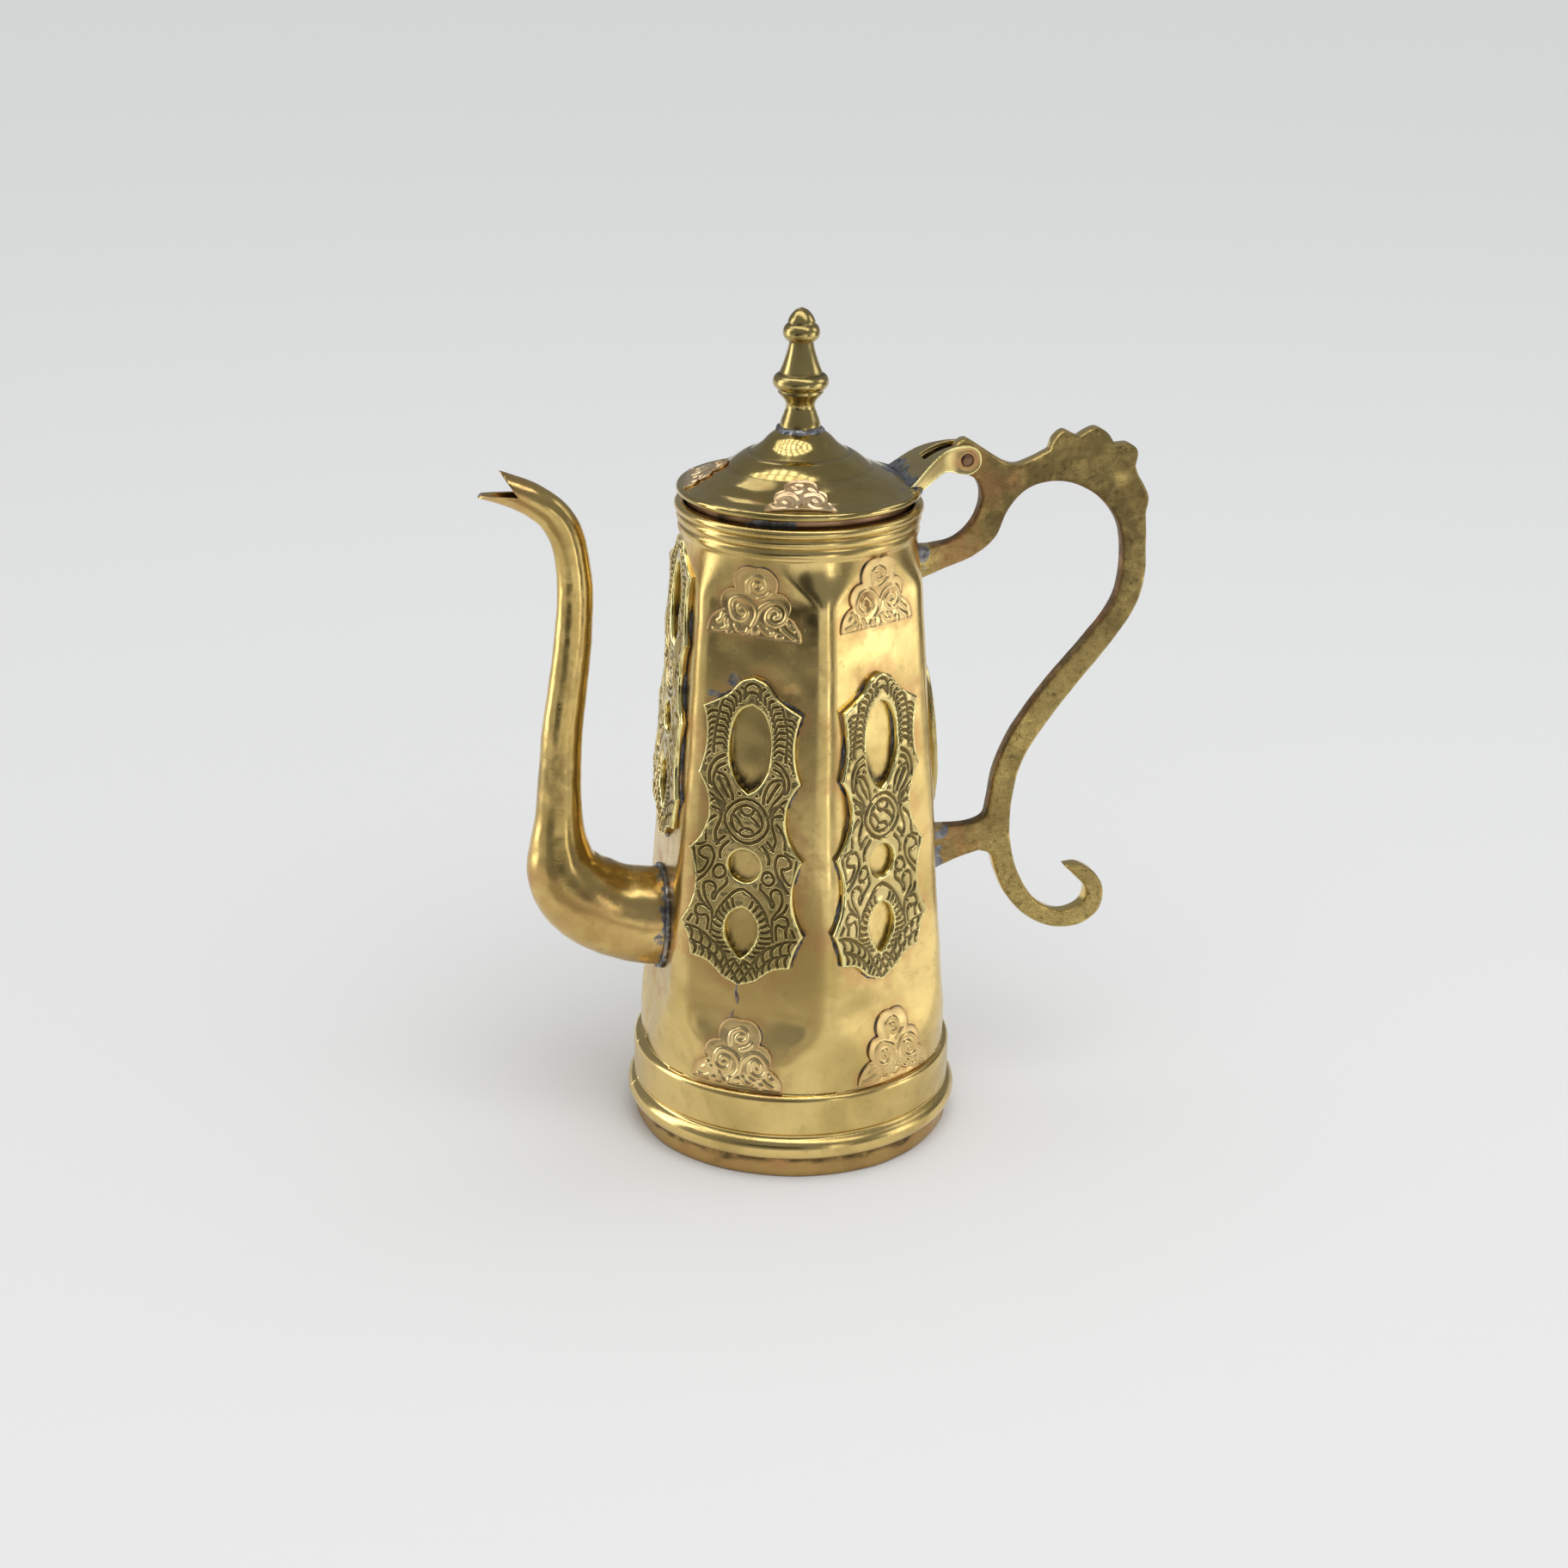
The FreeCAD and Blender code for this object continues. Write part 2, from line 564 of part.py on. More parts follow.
def main():
    os.makedirs("parts", exist_ok=True)
    body = faceted_solid(0.0)
    export("body_shell", body_shell(body))
    export("base_pan", base_pan())

    spout_outer = spout_solid(0.0)
    export("spout", spout_piece(spout_outer, body))
    collar = spout_solid(COLLAR_GROW).common(faceted_solid(COLLAR_T))
    export("spout_solder", collar.cut(spout_outer).cut(body))

    handle = handle_piece(body)
    export("handle", handle)
    export("handle_solder_lower", strut_solder(36.0, 88.6, 6.0, 9.4, [handle, body]))
    export("handle_solder_upper", strut_solder(28.0, 184.6, 6.0, 8.4, [handle, body]))

    dome = lid_dome()
    lid_solid = lid_filled(0.0)
    export("lid_dome", dome)
    export("lid_bezel", lid_bezel(dome))
    knob = finial()
    export("finial", knob)
    export("finial_solder", finial_solder().cut(knob))
    export("hinge_strap", hinge_strap(lid_solid))
    export("hinge_rivet", hinge_rivet())

    blank = panel_blank()
    for name, (angle, z, shift, lean) in PANELS.items():
        panel = blank.copy()
        panel.Placement = facet_place(angle, z, shift, lean)
        export(name, panel)
    export("handle_medallion", medallion())

    skin = faceted_solid(BADGE_T).cut(body)
    for name, angle in CORNER_FACETS.items():
        export("top_badge_" + name, facet_badge(angle, *TOP_BADGES[name], skin))
        export("bottom_badge_" + name, facet_badge(angle, *LOW_BADGES[name], skin))
    lid_skin = lid_filled(BADGE_T).cut(lid_solid)
    for name, angle in LID_BADGES.items():
        export(name, lid_badge(angle, lid_skin))


main()
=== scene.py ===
import json
import math

import bmesh
import bpy
import numpy as np
from mathutils import Matrix, Vector
from mathutils.geometry import delaunay_2d_cdt

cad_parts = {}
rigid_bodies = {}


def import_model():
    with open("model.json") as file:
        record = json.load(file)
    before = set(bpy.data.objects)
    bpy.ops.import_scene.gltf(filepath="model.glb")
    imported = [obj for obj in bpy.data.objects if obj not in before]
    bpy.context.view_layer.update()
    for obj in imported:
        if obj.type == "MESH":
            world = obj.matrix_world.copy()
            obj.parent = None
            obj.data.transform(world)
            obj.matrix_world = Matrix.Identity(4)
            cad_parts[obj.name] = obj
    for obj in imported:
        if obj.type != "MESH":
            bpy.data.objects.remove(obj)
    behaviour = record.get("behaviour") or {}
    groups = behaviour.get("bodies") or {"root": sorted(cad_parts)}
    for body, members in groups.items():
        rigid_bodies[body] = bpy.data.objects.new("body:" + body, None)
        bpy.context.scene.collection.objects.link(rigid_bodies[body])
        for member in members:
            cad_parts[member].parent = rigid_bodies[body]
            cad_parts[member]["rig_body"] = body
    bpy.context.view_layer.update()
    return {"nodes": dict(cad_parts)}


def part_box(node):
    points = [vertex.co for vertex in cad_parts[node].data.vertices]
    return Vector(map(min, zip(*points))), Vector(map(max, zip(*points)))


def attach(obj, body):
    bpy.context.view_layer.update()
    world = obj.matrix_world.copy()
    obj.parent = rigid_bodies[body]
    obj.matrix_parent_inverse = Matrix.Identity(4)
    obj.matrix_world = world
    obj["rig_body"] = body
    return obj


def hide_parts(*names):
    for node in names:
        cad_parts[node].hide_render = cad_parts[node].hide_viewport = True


# The looks of a brass dallah coffee pot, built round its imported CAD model.
# Shapes are worked out in millimetres, in the row frame (+Z up, handle along +X, spout along
# -X), and become metres when a mesh is made.

MM = 0.001
TAU = 2.0 * math.pi

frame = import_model()

# ---- driving dimensions, as in the CAD source (mm) ---------------------------------------
SHEET = 1.2
FOOT_R = 51.0
FOOT_H = 6.6
PAN_INNER_R = 49.7
BEAD_R = 53.7
BAND_R = 51.6
FACETS = 6
FACET_LOW_Z = 28.4
FACET_HIGH_Z = 197.6
FLAT_LOW_Z = 55.0
FLAT_HIGH_Z = 183.0
APOTHEM_LOW = 46.4
APOTHEM_HIGH = 35.2
CORNER_R_LOW = 12.0
CORNER_R_HIGH = 7.0
ROUND_LOW_R = 48.6
ROUND_LOW_CORNER = 40.0
NECK_R = 36.6
NECK_BORE_R = 35.2
LIP_Z = 206.0
LIP_R = 38.3
LID_R = 37.7
LID_Z = 209.7
LID_TOP_Z = 228.6
SPOUT_Z = 72.0
SPOUT_HOLE_HALF_Z = 11.5
SPOUT_HOLE_HALF_Y = 9.5
HANDLE_T = 5.4
PANEL_T = 2.6
TAPER = (APOTHEM_LOW - APOTHEM_HIGH) / (FLAT_HIGH_Z - FACET_LOW_Z)
TILT = math.atan(TAPER)
CORNER_FACETS = {"front_left": -120, "front_right": -60, "back_left": 120, "back_right": 60}
LID_BADGES = {"lid_badge_front": -102, "lid_badge_spout": 165, "lid_badge_back": 78}


# ---- curves ------------------------------------------------------------------------------
def smoothstep(t):
    t = np.clip(t, 0.0, 1.0)
    return t * t * (3.0 - 2.0 * t)


def between(a, b, t):
    return a + (b - a) * t


def hump(x, at, width):
    """1 at one value of x, fading to 0 on both sides."""
    return np.exp(-((x - at) / width) ** 2)


def resampled(points, step):
    """The polyline's points again, evenly spaced about step apart."""
    points = np.asarray(points, float)
    along = np.concatenate([[0.0], np.cumsum(np.linalg.norm(np.diff(points, axis=0), axis=1))])
    count = max(2, int(round(along[-1] / step)) + 1)
    at = np.linspace(0.0, along[-1], count)
    return np.stack([np.interp(at, along, points[:, k]) for k in range(points.shape[1])], axis=1)


def weighted(u, low, high, a, b):
    """a at low, b at high, and on the line through them elsewhere."""
    return (high - u) / (high - low) * a + (u - low) / (high - low) * b


def spline(points, step=0.4):
    """Smooth curve through the points (centripetal Catmull-Rom), about step apart."""
    p = np.asarray(points, float)
    if len(p) == 2:
        return resampled(p, step)
    p = np.concatenate([[2 * p[0] - p[1]], p, [2 * p[-1] - p[-2]]])
    out = []
    for four in zip(p, p[1:], p[2:], p[3:]):
        gaps = [math.sqrt(max(np.linalg.norm(b - a), 1e-9)) for a, b in zip(four, four[1:])]
        t = np.cumsum([0.0] + gaps)
        u = np.linspace(t[1], t[2], 16, endpoint=False)[:, None]
        a = [weighted(u, t[k], t[k + 1], four[k], four[k + 1]) for k in range(3)]
        b = [weighted(u, t[k], t[k + 2], a[k], a[k + 1]) for k in range(2)]
        out.append(weighted(u, t[1], t[2], *b))
    out.append(p[-2][None])
    return resampled(np.concatenate(out), step)


def arc(a, b, c, step=0.4):
    """Circular arc from a through b to c."""
    (ax, ay), (bx, by), (cx, cy) = a, b, c
    d = 2 * (ax * (by - cy) + bx * (cy - ay) + cx * (ay - by))
    if abs(d) < 1e-6:
        return resampled([a, c], step)
    sa, sb, sc = ax * ax + ay * ay, bx * bx + by * by, cx * cx + cy * cy
    x = (sa * (by - cy) + sb * (cy - ay) + sc * (ay - by)) / d
    y = (sa * (cx - bx) + sb * (ax - cx) + sc * (bx - ax)) / d
    r = math.hypot(ax - x, ay - y)
    start, via, end = (math.atan2(q[1] - y, q[0] - x) for q in (a, b, c))
    turn = (end - start) % TAU
    if (via - start) % TAU > turn:
        turn -= TAU
    count = max(3, int(abs(turn) * r / step) + 1)
    angles = start + np.linspace(0.0, turn, count)
    return np.stack([x + r * np.cos(angles), y + r * np.sin(angles)], axis=1)


def path(start, steps, step=0.4):
    """Each step is a point (a line to it), two points (an arc) or more (a smooth curve)."""
    here, runs = start, [np.array([start], float)]
    for points in steps:
        points = points if isinstance(points, list) else [points]
        run = arc(here, *points, step) if len(points) == 2 else spline([here] + points, step)
        runs.append(run[1:])
        here = points[-1]
    return np.concatenate(runs)


def both_sides(top, steps, step=0.4, foot=()):
    """Closed loop from the steps of its right half, which ends on the axis or at the foot, a
    line across to its mirror image."""
    half = path(top, steps, step)
    loop = np.concatenate([half, *foot, half[::-1] * [-1.0, 1.0]])
    keep = np.linalg.norm(loop - np.roll(loop, 1, axis=0), axis=1) > 1e-4
    return loop[keep]


def eased(points, radius, closed=True, limit=18.0):
    """Rounds every corner sharper than limit degrees with a small curve of about radius."""
    points = np.asarray(points, float)
    count, out = len(points), []
    for k in range(count):
        here = points[k]
        if not closed and k in (0, count - 1):
            out.append(here[None])
            continue
        before, after = points[k - 1] - here, points[(k + 1) % count] - here
        la, lb = np.linalg.norm(before), np.linalg.norm(after)
        turn = math.degrees(math.acos(np.clip(-before @ after / (la * lb), -1.0, 1.0)))
        if turn < limit:
            out.append(here[None])
            continue
        a = here + before / la * min(radius, 0.45 * la)
        b = here + after / lb * min(radius, 0.45 * lb)
        t = np.linspace(0.0, 1.0, 5)[:, None]
        out.append((1 - t) ** 2 * a + 2 * t * (1 - t) * here + t * t * b)
    return np.concatenate(out)


def wave(points, length, amount, seed):
    """Smooth uneven field over 2-D or 3-D points: a seeded sum of long and short waves."""
    rng = np.random.default_rng(seed)
    points = np.asarray(points, float)
    total = np.zeros(len(points))
    for k in range(14):
        direction = rng.normal(size=points.shape[1])
        direction /= np.linalg.norm(direction)
        pitch = length * rng.uniform(0.6, 1.6)
        total += np.sin(points @ direction * TAU / pitch + rng.uniform(0.0, TAU))
    return total * amount / 2.6


# ---- meshes ------------------------------------------------------------------------------
def new_object(name, points, faces, material=None, scale=1.0):
    mesh = bpy.data.meshes.new(name)
    mesh.from_pydata((np.asarray(points, float) * scale).tolist(), [], faces)
    if material:
        mesh.materials.append(material)
    made = bpy.data.objects.new(name, mesh)
    bpy.context.scene.collection.objects.link(made)
    return made


def new_piece(name, points, faces, body, slot, material, marks=None):
    """A smooth mesh that rides on a body; marks are named numbers per vertex."""
    piece = new_object(name, points, faces, material, MM)
    for mark, values in (marks or {}).items():
        layer = piece.data.attributes.new(mark, "FLOAT", "POINT")
        layer.data.foreach_set("value", np.asarray(values, np.float32))
    piece.data.polygons.foreach_set("use_smooth", np.ones(len(faces), bool))
    piece.data.validate()
    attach(piece, body)
    return piece


def add_piece(name, points, faces, node, slot, material, marks=None):
    """A piece in place of a CAD node, on the node's own body."""
    piece = new_piece(name, points, faces, frame["nodes"][node]["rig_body"], slot, material, marks)
    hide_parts(node)


def grid_faces(rows, columns, wrap_rows=False, flip=False):
    """Quads of a grid whose columns run round and close."""
    r = np.arange(rows if wrap_rows else rows - 1)[:, None]
    c = np.arange(columns)[None, :]
    r2, c2 = (r + 1) % rows, (c + 1) % columns
    quad = [r * columns + c, r * columns + c2, r2 * columns + c2, r2 * columns + c]
    quads = np.stack([np.broadcast_to(q, (len(r), columns)) for q in quad], axis=-1)
    quads = quads.reshape(-1, 4)
    return quads[:, ::-1].tolist() if flip else quads.tolist()


def lathe(profile, columns=144, closed=True):
    """Points and faces of a turned piece; profile is (radius, height), counter-clockwise."""
    profile = np.asarray(profile, float)
    on_axis = profile[:, 0] < 1e-4
    angles = np.arange(columns) * TAU / columns
    ring = np.stack([np.cos(angles), np.sin(angles)], axis=1)
    rows = profile[~on_axis]
    xy = rows[:, None, :1] * ring[None]
    z = np.broadcast_to(rows[:, None, 1:], (len(rows), columns, 1))
    points = np.concatenate([xy, z], axis=2).reshape(-1, 3)
    faces = grid_faces(len(rows), columns, wrap_rows=closed and not on_axis.any())
    for end, row in ((0, 0), (-1, len(rows) - 1)):
        if on_axis[end]:
            pole = len(points)
            points = np.concatenate([points, [[0.0, 0.0, profile[end, 1]]]])
            loop = [(row * columns + c, row * columns + (c + 1) % columns) for c in range(columns)]
            faces += [(b, a, pole) if end == 0 else (a, b, pole) for a, b in loop]
    return points, faces


def turned(low, steps, step, columns, ease=0.0):
    """Turned piece whose profile starts on the axis at height low and ends on the axis."""
    profile = path((0.001, low), steps, step)
    if ease:
        profile = eased(profile, ease, closed=False)
    profile[0, 0] = profile[-1, 0] = 0.0
    return lathe(profile, columns)


def from_axis(points):
    return np.hypot(points[:, 0], points[:, 1])


def push_out(points, amount):
    """Moves the points away from the upright axis."""
    outward = points[:, :2] / np.maximum(np.linalg.norm(points[:, :2], axis=1, keepdims=True), 1e-6)
    points[:, :2] += outward * amount[:, None]


def distance_to(points, line, closed=False, chunk=3000):
    """Distance from each 2-D point to a polyline."""
    a = np.asarray(line, float)
    b = np.roll(a, -1, axis=0) if closed else a[1:]
    a = a if closed else a[:-1]
    d = b - a
    length2 = np.maximum((d ** 2).sum(axis=1), 1e-12)
    found = []
    for k in range(0, len(points), chunk):
        p = points[k:k + chunk, None, :] - a[None]
        t = np.clip((p * d[None]).sum(axis=2) / length2, 0.0, 1.0)
        found.append(np.linalg.norm(p - t[..., None] * d[None], axis=2).min(axis=1))
    return np.concatenate(found) if found else np.zeros(0)


def rim_distance(points, loops):
    return np.min([distance_to(points, loop, closed=True) for loop in loops], axis=0)


def inside(points, loop):
    """Even-odd test of 2-D points against a closed loop."""
    a, b = loop, np.roll(loop, -1, axis=0)
    result = np.zeros(len(points), bool)
    for (x1, y1), (x2, y2) in zip(a, b):
        if y1 == y2:
            continue
        crosses = (y1 > points[:, 1]) != (y2 > points[:, 1])
        result ^= crosses & (points[:, 0] < (x2 - x1) * (points[:, 1] - y1) / (y2 - y1) + x1)
    return result


def between_loops(points, loops):
    """True for the points inside the outer loop (first) and outside its holes."""
    keep = inside(points, loops[0])
    for hole in loops[1:]:
        keep &= ~inside(points, hole)
    return keep


def turned_left(loop):
    """True if the loop runs counter-clockwise."""
    x, y = loop.T
    return (x * np.roll(y, -1) - np.roll(x, -1) * y).sum() > 0


def filled(loops, extra=()):
    """Triangles over the region between the outer loop (first) and its holes."""
    points = np.concatenate([*loops, *extra])
    edges, start = [], 0
    for loop in loops:
        count = len(loop)
        edges += [(start + k, start + (k + 1) % count) for k in range(count)]
        start += count
    made = delaunay_2d_cdt([Vector(p) for p in points], edges, [], 0, 1e-6)
    placed = np.array([tuple(v) for v in made[0]])
    source = np.array([group[0] if group else -1 for group in made[3]])
    triangles = np.array([f for f in made[2] if len(f) == 3])
    triangles = source[triangles[between_loops(placed[triangles].mean(axis=1), loops)]]
    a, b, c = (points[triangles[:, k]] for k in range(3))
    area = (b[:, 0] - a[:, 0]) * (c[:, 1] - a[:, 1]) - (b[:, 1] - a[:, 1]) * (c[:, 0] - a[:, 0])
    triangles[area < 0] = triangles[area < 0][:, ::-1]
    return points, triangles[np.abs(area) > 1e-9]


def lattice(loops, spacing, margin):
    """Points of a triangular lattice inside the loops, at least margin from them."""
    low, high = loops[0].min(axis=0), loops[0].max(axis=0)
    xs = np.arange(low[0], high[0], spacing)
    ys = np.arange(low[1], high[1], spacing * math.sqrt(0.75))
    x, y = np.meshgrid(xs, ys)
    x = x + (np.arange(len(ys)) % 2)[:, None] * spacing / 2
    points = np.stack([x.ravel(), y.ravel()], axis=1)
    points = points[between_loops(points, loops)]
    return points[rim_distance(points, loops) > margin]


def inset(loops, depth):
    """Points a little way inside the loops, left out where they would crowd a corner."""
    found = []
    for k, loop in enumerate(loops):
        along = np.roll(loop, -1, axis=0) - np.roll(loop, 1, axis=0)
        normal = np.stack([-along[:, 1], along[:, 0]], axis=1)
        normal /= np.maximum(np.linalg.norm(normal, axis=1, keepdims=True), 1e-9)
        inward = normal * (1.0 if turned_left(loop) == (k == 0) else -1.0)
        found.append(loop + inward * depth)
    points = np.concatenate(found)
    return points[rim_distance(points, loops) > 0.92 * depth]


def plate(loops, spacing, edge_r, top, two_faced=False):
    """A plate with a rounded rim.  top(points, edge) gives the height of the upper face and
    how deep each point is cut, edge being the distance from the rim.  Returns (x, y, height)
    points, faces, edge and cut; the lower points have 0 for the last two."""
    rings = [inset(loops, edge_r * share) for share in (0.134, 0.5, 1.0)]
    flat = lattice(loops, spacing, edge_r + 0.45 * spacing)
    points, triangles = filled(loops, rings + [flat])
    edge = rim_distance(points, loops)
    reach = np.clip(edge / edge_r, 0.0, 1.0)
    height, cut = top(points, edge)
    height = height - edge_r * (1.0 - np.sqrt(np.maximum(1.0 - (1.0 - reach) ** 2, 0.0)))
    upper = np.concatenate([points, height[:, None]], axis=1)
    count, rim = len(points), sum(len(loop) for loop in loops)
    if two_faced:
        lower, base = upper * [1.0, 1.0, -1.0], triangles
    else:
        lower, base = np.concatenate([points[:rim], np.zeros((rim, 1))], axis=1), filled(loops)[1]
    faces = triangles.tolist() + (base[:, ::-1] + count).tolist()
    start = 0
    for k, loop in enumerate(loops):
        here = start + np.arange(len(loop))
        ahead = np.roll(here, -1)
        quads = np.stack([here, here + count, ahead + count, ahead], axis=1)
        faces += (quads if turned_left(loop) == (k == 0) else quads[:, ::-1]).tolist()
        start += len(loop)
    edge, cut = (np.concatenate([values, np.zeros(len(lower))]) for values in (edge, cut))
    return np.concatenate([upper, lower]), faces, edge, cut


# ---- materials ---------------------------------------------------------------------------
class Nodes:
    """Short calls for building one material's node tree."""

    def __init__(self, name):
        self.material = bpy.data.materials.new(name)
        self.material.use_nodes = True
        self.tree = self.material.node_tree
        self.shader = self.tree.nodes["Principled BSDF"]
        self.place = self.made("TexCoord", {}, "Object")

    def made(self, kind, inputs, output, **settings):
        """One output of a new node, with its inputs linked or set."""
        node = self.tree.nodes.new("ShaderNode" + kind)
        for name, value in settings.items():
            setattr(node, name, value)
        self.feed(node, inputs)
        return node.outputs[output]

    def feed(self, node, inputs):
        for name, value in inputs.items():
            socket = node.inputs[name]
            if isinstance(value, bpy.types.NodeSocket):
                self.tree.links.new(value, socket)
            else:
                socket.default_value = (*value, 1.0) if socket.type == "RGBA" else value

    def noise(self, scale, detail=3.0, roughness=0.55, stretch=None, distortion=0.0):
        """Noise in object space; scale is in features per metre."""
        place = self.place
        if stretch:
            place = self.made("Mapping", {"Scale": stretch, "Vector": place}, "Vector")
        return self.made("TexNoise", {"Scale": scale, "Detail": detail, "Roughness": roughness,
                                      "Distortion": distortion, "Vector": place}, "Fac")

    def ramp(self, value, low, high, start=0.0, end=1.0):
        """value from low..high becomes start..end, smoothly."""
        return self.made("MapRange", {"Value": value, "From Min": low, "From Max": high, "To Min": start,
                                      "To Max": end}, "Result", interpolation_type="SMOOTHSTEP")

    def mark(self, name):
        return self.made("Attribute", {}, "Fac", attribute_name=name)

    def maths(self, operation, a, b):
        return self.made("Math", {0: a, 1: b}, "Value", operation=operation, use_clamp=operation != "ADD")

    def times(self, a, b):
        return self.maths("MULTIPLY", a, b)

    def mix(self, share, a, b):
        """Colour a where share is 0, and b where it is 1."""
        return self.made("Mix", {"Factor": share, 6: a, 7: b}, 2, data_type="RGBA")

    def blend(self, share, a, b):
        """Number a where share is 0, and b where it is 1."""
        return self.made("Mix", {"Factor": share, 2: a, 3: b}, 0, data_type="FLOAT")

    def bump(self, height, depth, below=None):
        """Bump of the given depth in metres, on top of another one."""
        under = {"Normal": below} if below else {}
        return self.made("Bump", {"Distance": depth, "Strength": 1.0, "Height": height, **under}, "Normal")

    def metal(self, colour, rough, normal):
        self.feed(self.shader, {"Base Color": colour, "Roughness": rough, "Normal": normal,
                                "Metallic": 1.0})
        return self.material


SOLDER_GREY = (0.34, 0.345, 0.36)
SOLDER_SHADE = (0.16, 0.16, 0.17)
WARM_STAIN = (0.42, 0.27, 0.14)
# Dark brown for grime, and for painted shade in creases, grooves and hollows.
GRIME_AND_SHADE = (0.055, 0.040, 0.022)
HEAT_RED = (0.55, 0.29, 0.12)
SCRATCH_DEPTH = 0.000010


def brass(name, light, dark, gloss, dull, marks=(), pits=0.0, brushed=0.0, grain=0.0, specks=0.28,
          speck_scale=210.0):
    """Aged brass: cloudy tarnish, specks, fine scratches, and what the mesh's marks say.

    light and dark are the clean and the tarnished colour, gloss and dull their roughness;
    pits, brushed and grain are depths in metres, specks the strength of the dark specks.
    Marks: deep (painted shade in hollows), solder (grey metal), tint (red heat colour), soot (grime,
    and painted shade in creases and hollows), worn (rubbed bright and smooth, and painted highlight on rims)."""
    n = Nodes(name)
    clouds = n.ramp(n.noise(26.0, 4.0, 0.6, distortion=0.6), 0.36, 0.68)
    spots = n.ramp(n.noise(speck_scale, 4.0, 0.65), 0.50, 0.74)
    colour = n.mix(clouds, light, dark)
    colour = n.mix(n.times(spots, specks), colour, tuple(0.62 * c for c in dark))
    rough = n.blend(clouds, gloss, dull)
    rough = n.blend(n.times(spots, 0.5), rough, min(dull + 0.14, 0.7))
    # Red heat colour, then darkening towards dark brown: grime, and painted shade where the mark sits in
    # creases and hollows.
    for mark, cloud, low, high, stain, finish in (
            ("tint", (120.0, 3.0), 0.30, 0.62, HEAT_RED, dull + 0.10),
            ("soot_and_shade", (160.0, 4.0, 0.6), 0.28, 0.60, GRIME_AND_SHADE, 0.45)):
        if mark in marks:
            share = n.times(n.mark(mark), n.ramp(n.noise(*cloud), low, high))
            colour, rough = n.mix(share, colour, stain), n.blend(share, rough, finish)
    if "solder" in marks:
        ragged = n.maths("ADD", n.mark("solder"), n.ramp(n.noise(300.0, 4.0, 0.7), 0.2, 0.8, -0.3, 0.3))
        share = n.ramp(ragged, 0.35, 0.60)
        mottled = n.mix(n.ramp(n.noise(500.0, 3.0), 0.35, 0.65), SOLDER_GREY, SOLDER_SHADE)
        colour, rough = n.mix(share, colour, mottled), n.blend(share, rough, 0.42)
    # Rubbed wear and a painted highlight: the marked rims get a brighter colour and a smoother finish.
    if "wear_and_highlight" in marks:
        share = n.mark("wear_and_highlight")
        colour = n.mix(n.times(share, 0.9), colour, tuple(min(1.7 * c, 1.0) for c in light))
        rough = n.blend(share, rough, 0.6 * gloss)
    # Painted shade: hollows and grooves darkened towards dark brown and made duller.
    if "deep" in marks:
        share = n.ramp(n.mark("deep"), 0.25, 0.85)
        colour, rough = n.mix(n.times(share, 0.58), colour, GRIME_AND_SHADE), n.blend(share, rough, 0.50)
    scratches = n.noise(900.0, 3.0, 0.6, stretch=(1.0, 1.0, 0.12))
    normal = n.bump(scratches, SCRATCH_DEPTH + brushed)
    if grain:
        normal = n.bump(n.noise(1500.0, 3.0, 0.7), grain, normal)
    if pits:
        holes = n.ramp(n.noise(620.0, 4.0, 0.7, stretch=(0.7, 0.7, 1.3)), 0.30, 0.60)
        if "wear_and_highlight" in marks:
            holes = n.times(holes, n.maths("SUBTRACT", 1.0, n.mark("wear_and_highlight")))
        normal = n.bump(holes, pits, normal)
    return n.metal(colour, rough, normal)


def dull_solder(name, light, dark):
    """Grey solder, wiped and pitted, with warm stains."""
    n = Nodes(name)
    clouds = n.ramp(n.noise(240.0, 4.0, 0.65), 0.35, 0.65)
    colour = n.mix(clouds, light, dark)
    colour = n.mix(n.ramp(n.noise(90.0, 3.0), 0.55, 0.75), colour, WARM_STAIN)
    return n.metal(colour, n.blend(clouds, 0.30, 0.55), n.bump(n.noise(700.0, 4.0, 0.7), 0.00010))


BODY_BRASS = brass("brass_body", (0.82, 0.61, 0.24), (0.57, 0.415, 0.145), 0.17, 0.28,
                   marks=("tint", "soot_and_shade", "solder"), brushed=0.000006)
PAN_BRASS = brass("brass_pan", (0.52, 0.345, 0.125), (0.36, 0.225, 0.08), 0.24, 0.40,
                  marks=("tint", "soot_and_shade"), grain=0.00002)
SPOUT_BRASS = brass("brass_spout", (0.78, 0.565, 0.21), (0.56, 0.39, 0.125), 0.14, 0.24,
                    marks=("tint", "soot_and_shade", "solder"), pits=0.00001)
LID_BRASS = brass("brass_lid", (0.60, 0.46, 0.18), (0.45, 0.34, 0.12), 0.07, 0.15,
                  marks=("tint", "soot_and_shade", "solder"))
KNOB_BRASS = brass("brass_knob", (0.54, 0.42, 0.16), (0.36, 0.27, 0.10), 0.19, 0.30, marks=("soot_and_shade",))
CAST_BRASS = brass("brass_cast", (0.50, 0.37, 0.13), (0.28, 0.20, 0.07), 0.24, 0.40,
                   marks=("tint", "soot_and_shade", "solder", "wear_and_highlight"), pits=0.00022, grain=0.00005, specks=0.9,
                   speck_scale=520.0)
STRAP_BRASS = brass("brass_strap", (0.66, 0.52, 0.22), (0.48, 0.37, 0.15), 0.20, 0.34,
                    marks=("tint", "solder", "soot_and_shade", "wear_and_highlight"), grain=0.00002)
PANEL_BRASS = brass("brass_panel", (0.66, 0.52, 0.23), (0.44, 0.34, 0.13), 0.12, 0.25,
                    marks=("wear_and_highlight", "deep"), grain=0.00002)
BADGE_BRASS = brass("brass_badge", (0.88, 0.665, 0.31), (0.70, 0.50, 0.205), 0.18, 0.30,
                    marks=("deep", "tint"))
ROSY_BRASS = brass("brass_rosy", (0.92, 0.70, 0.42), (0.76, 0.54, 0.29), 0.24, 0.36,
                   marks=("deep", "tint"))
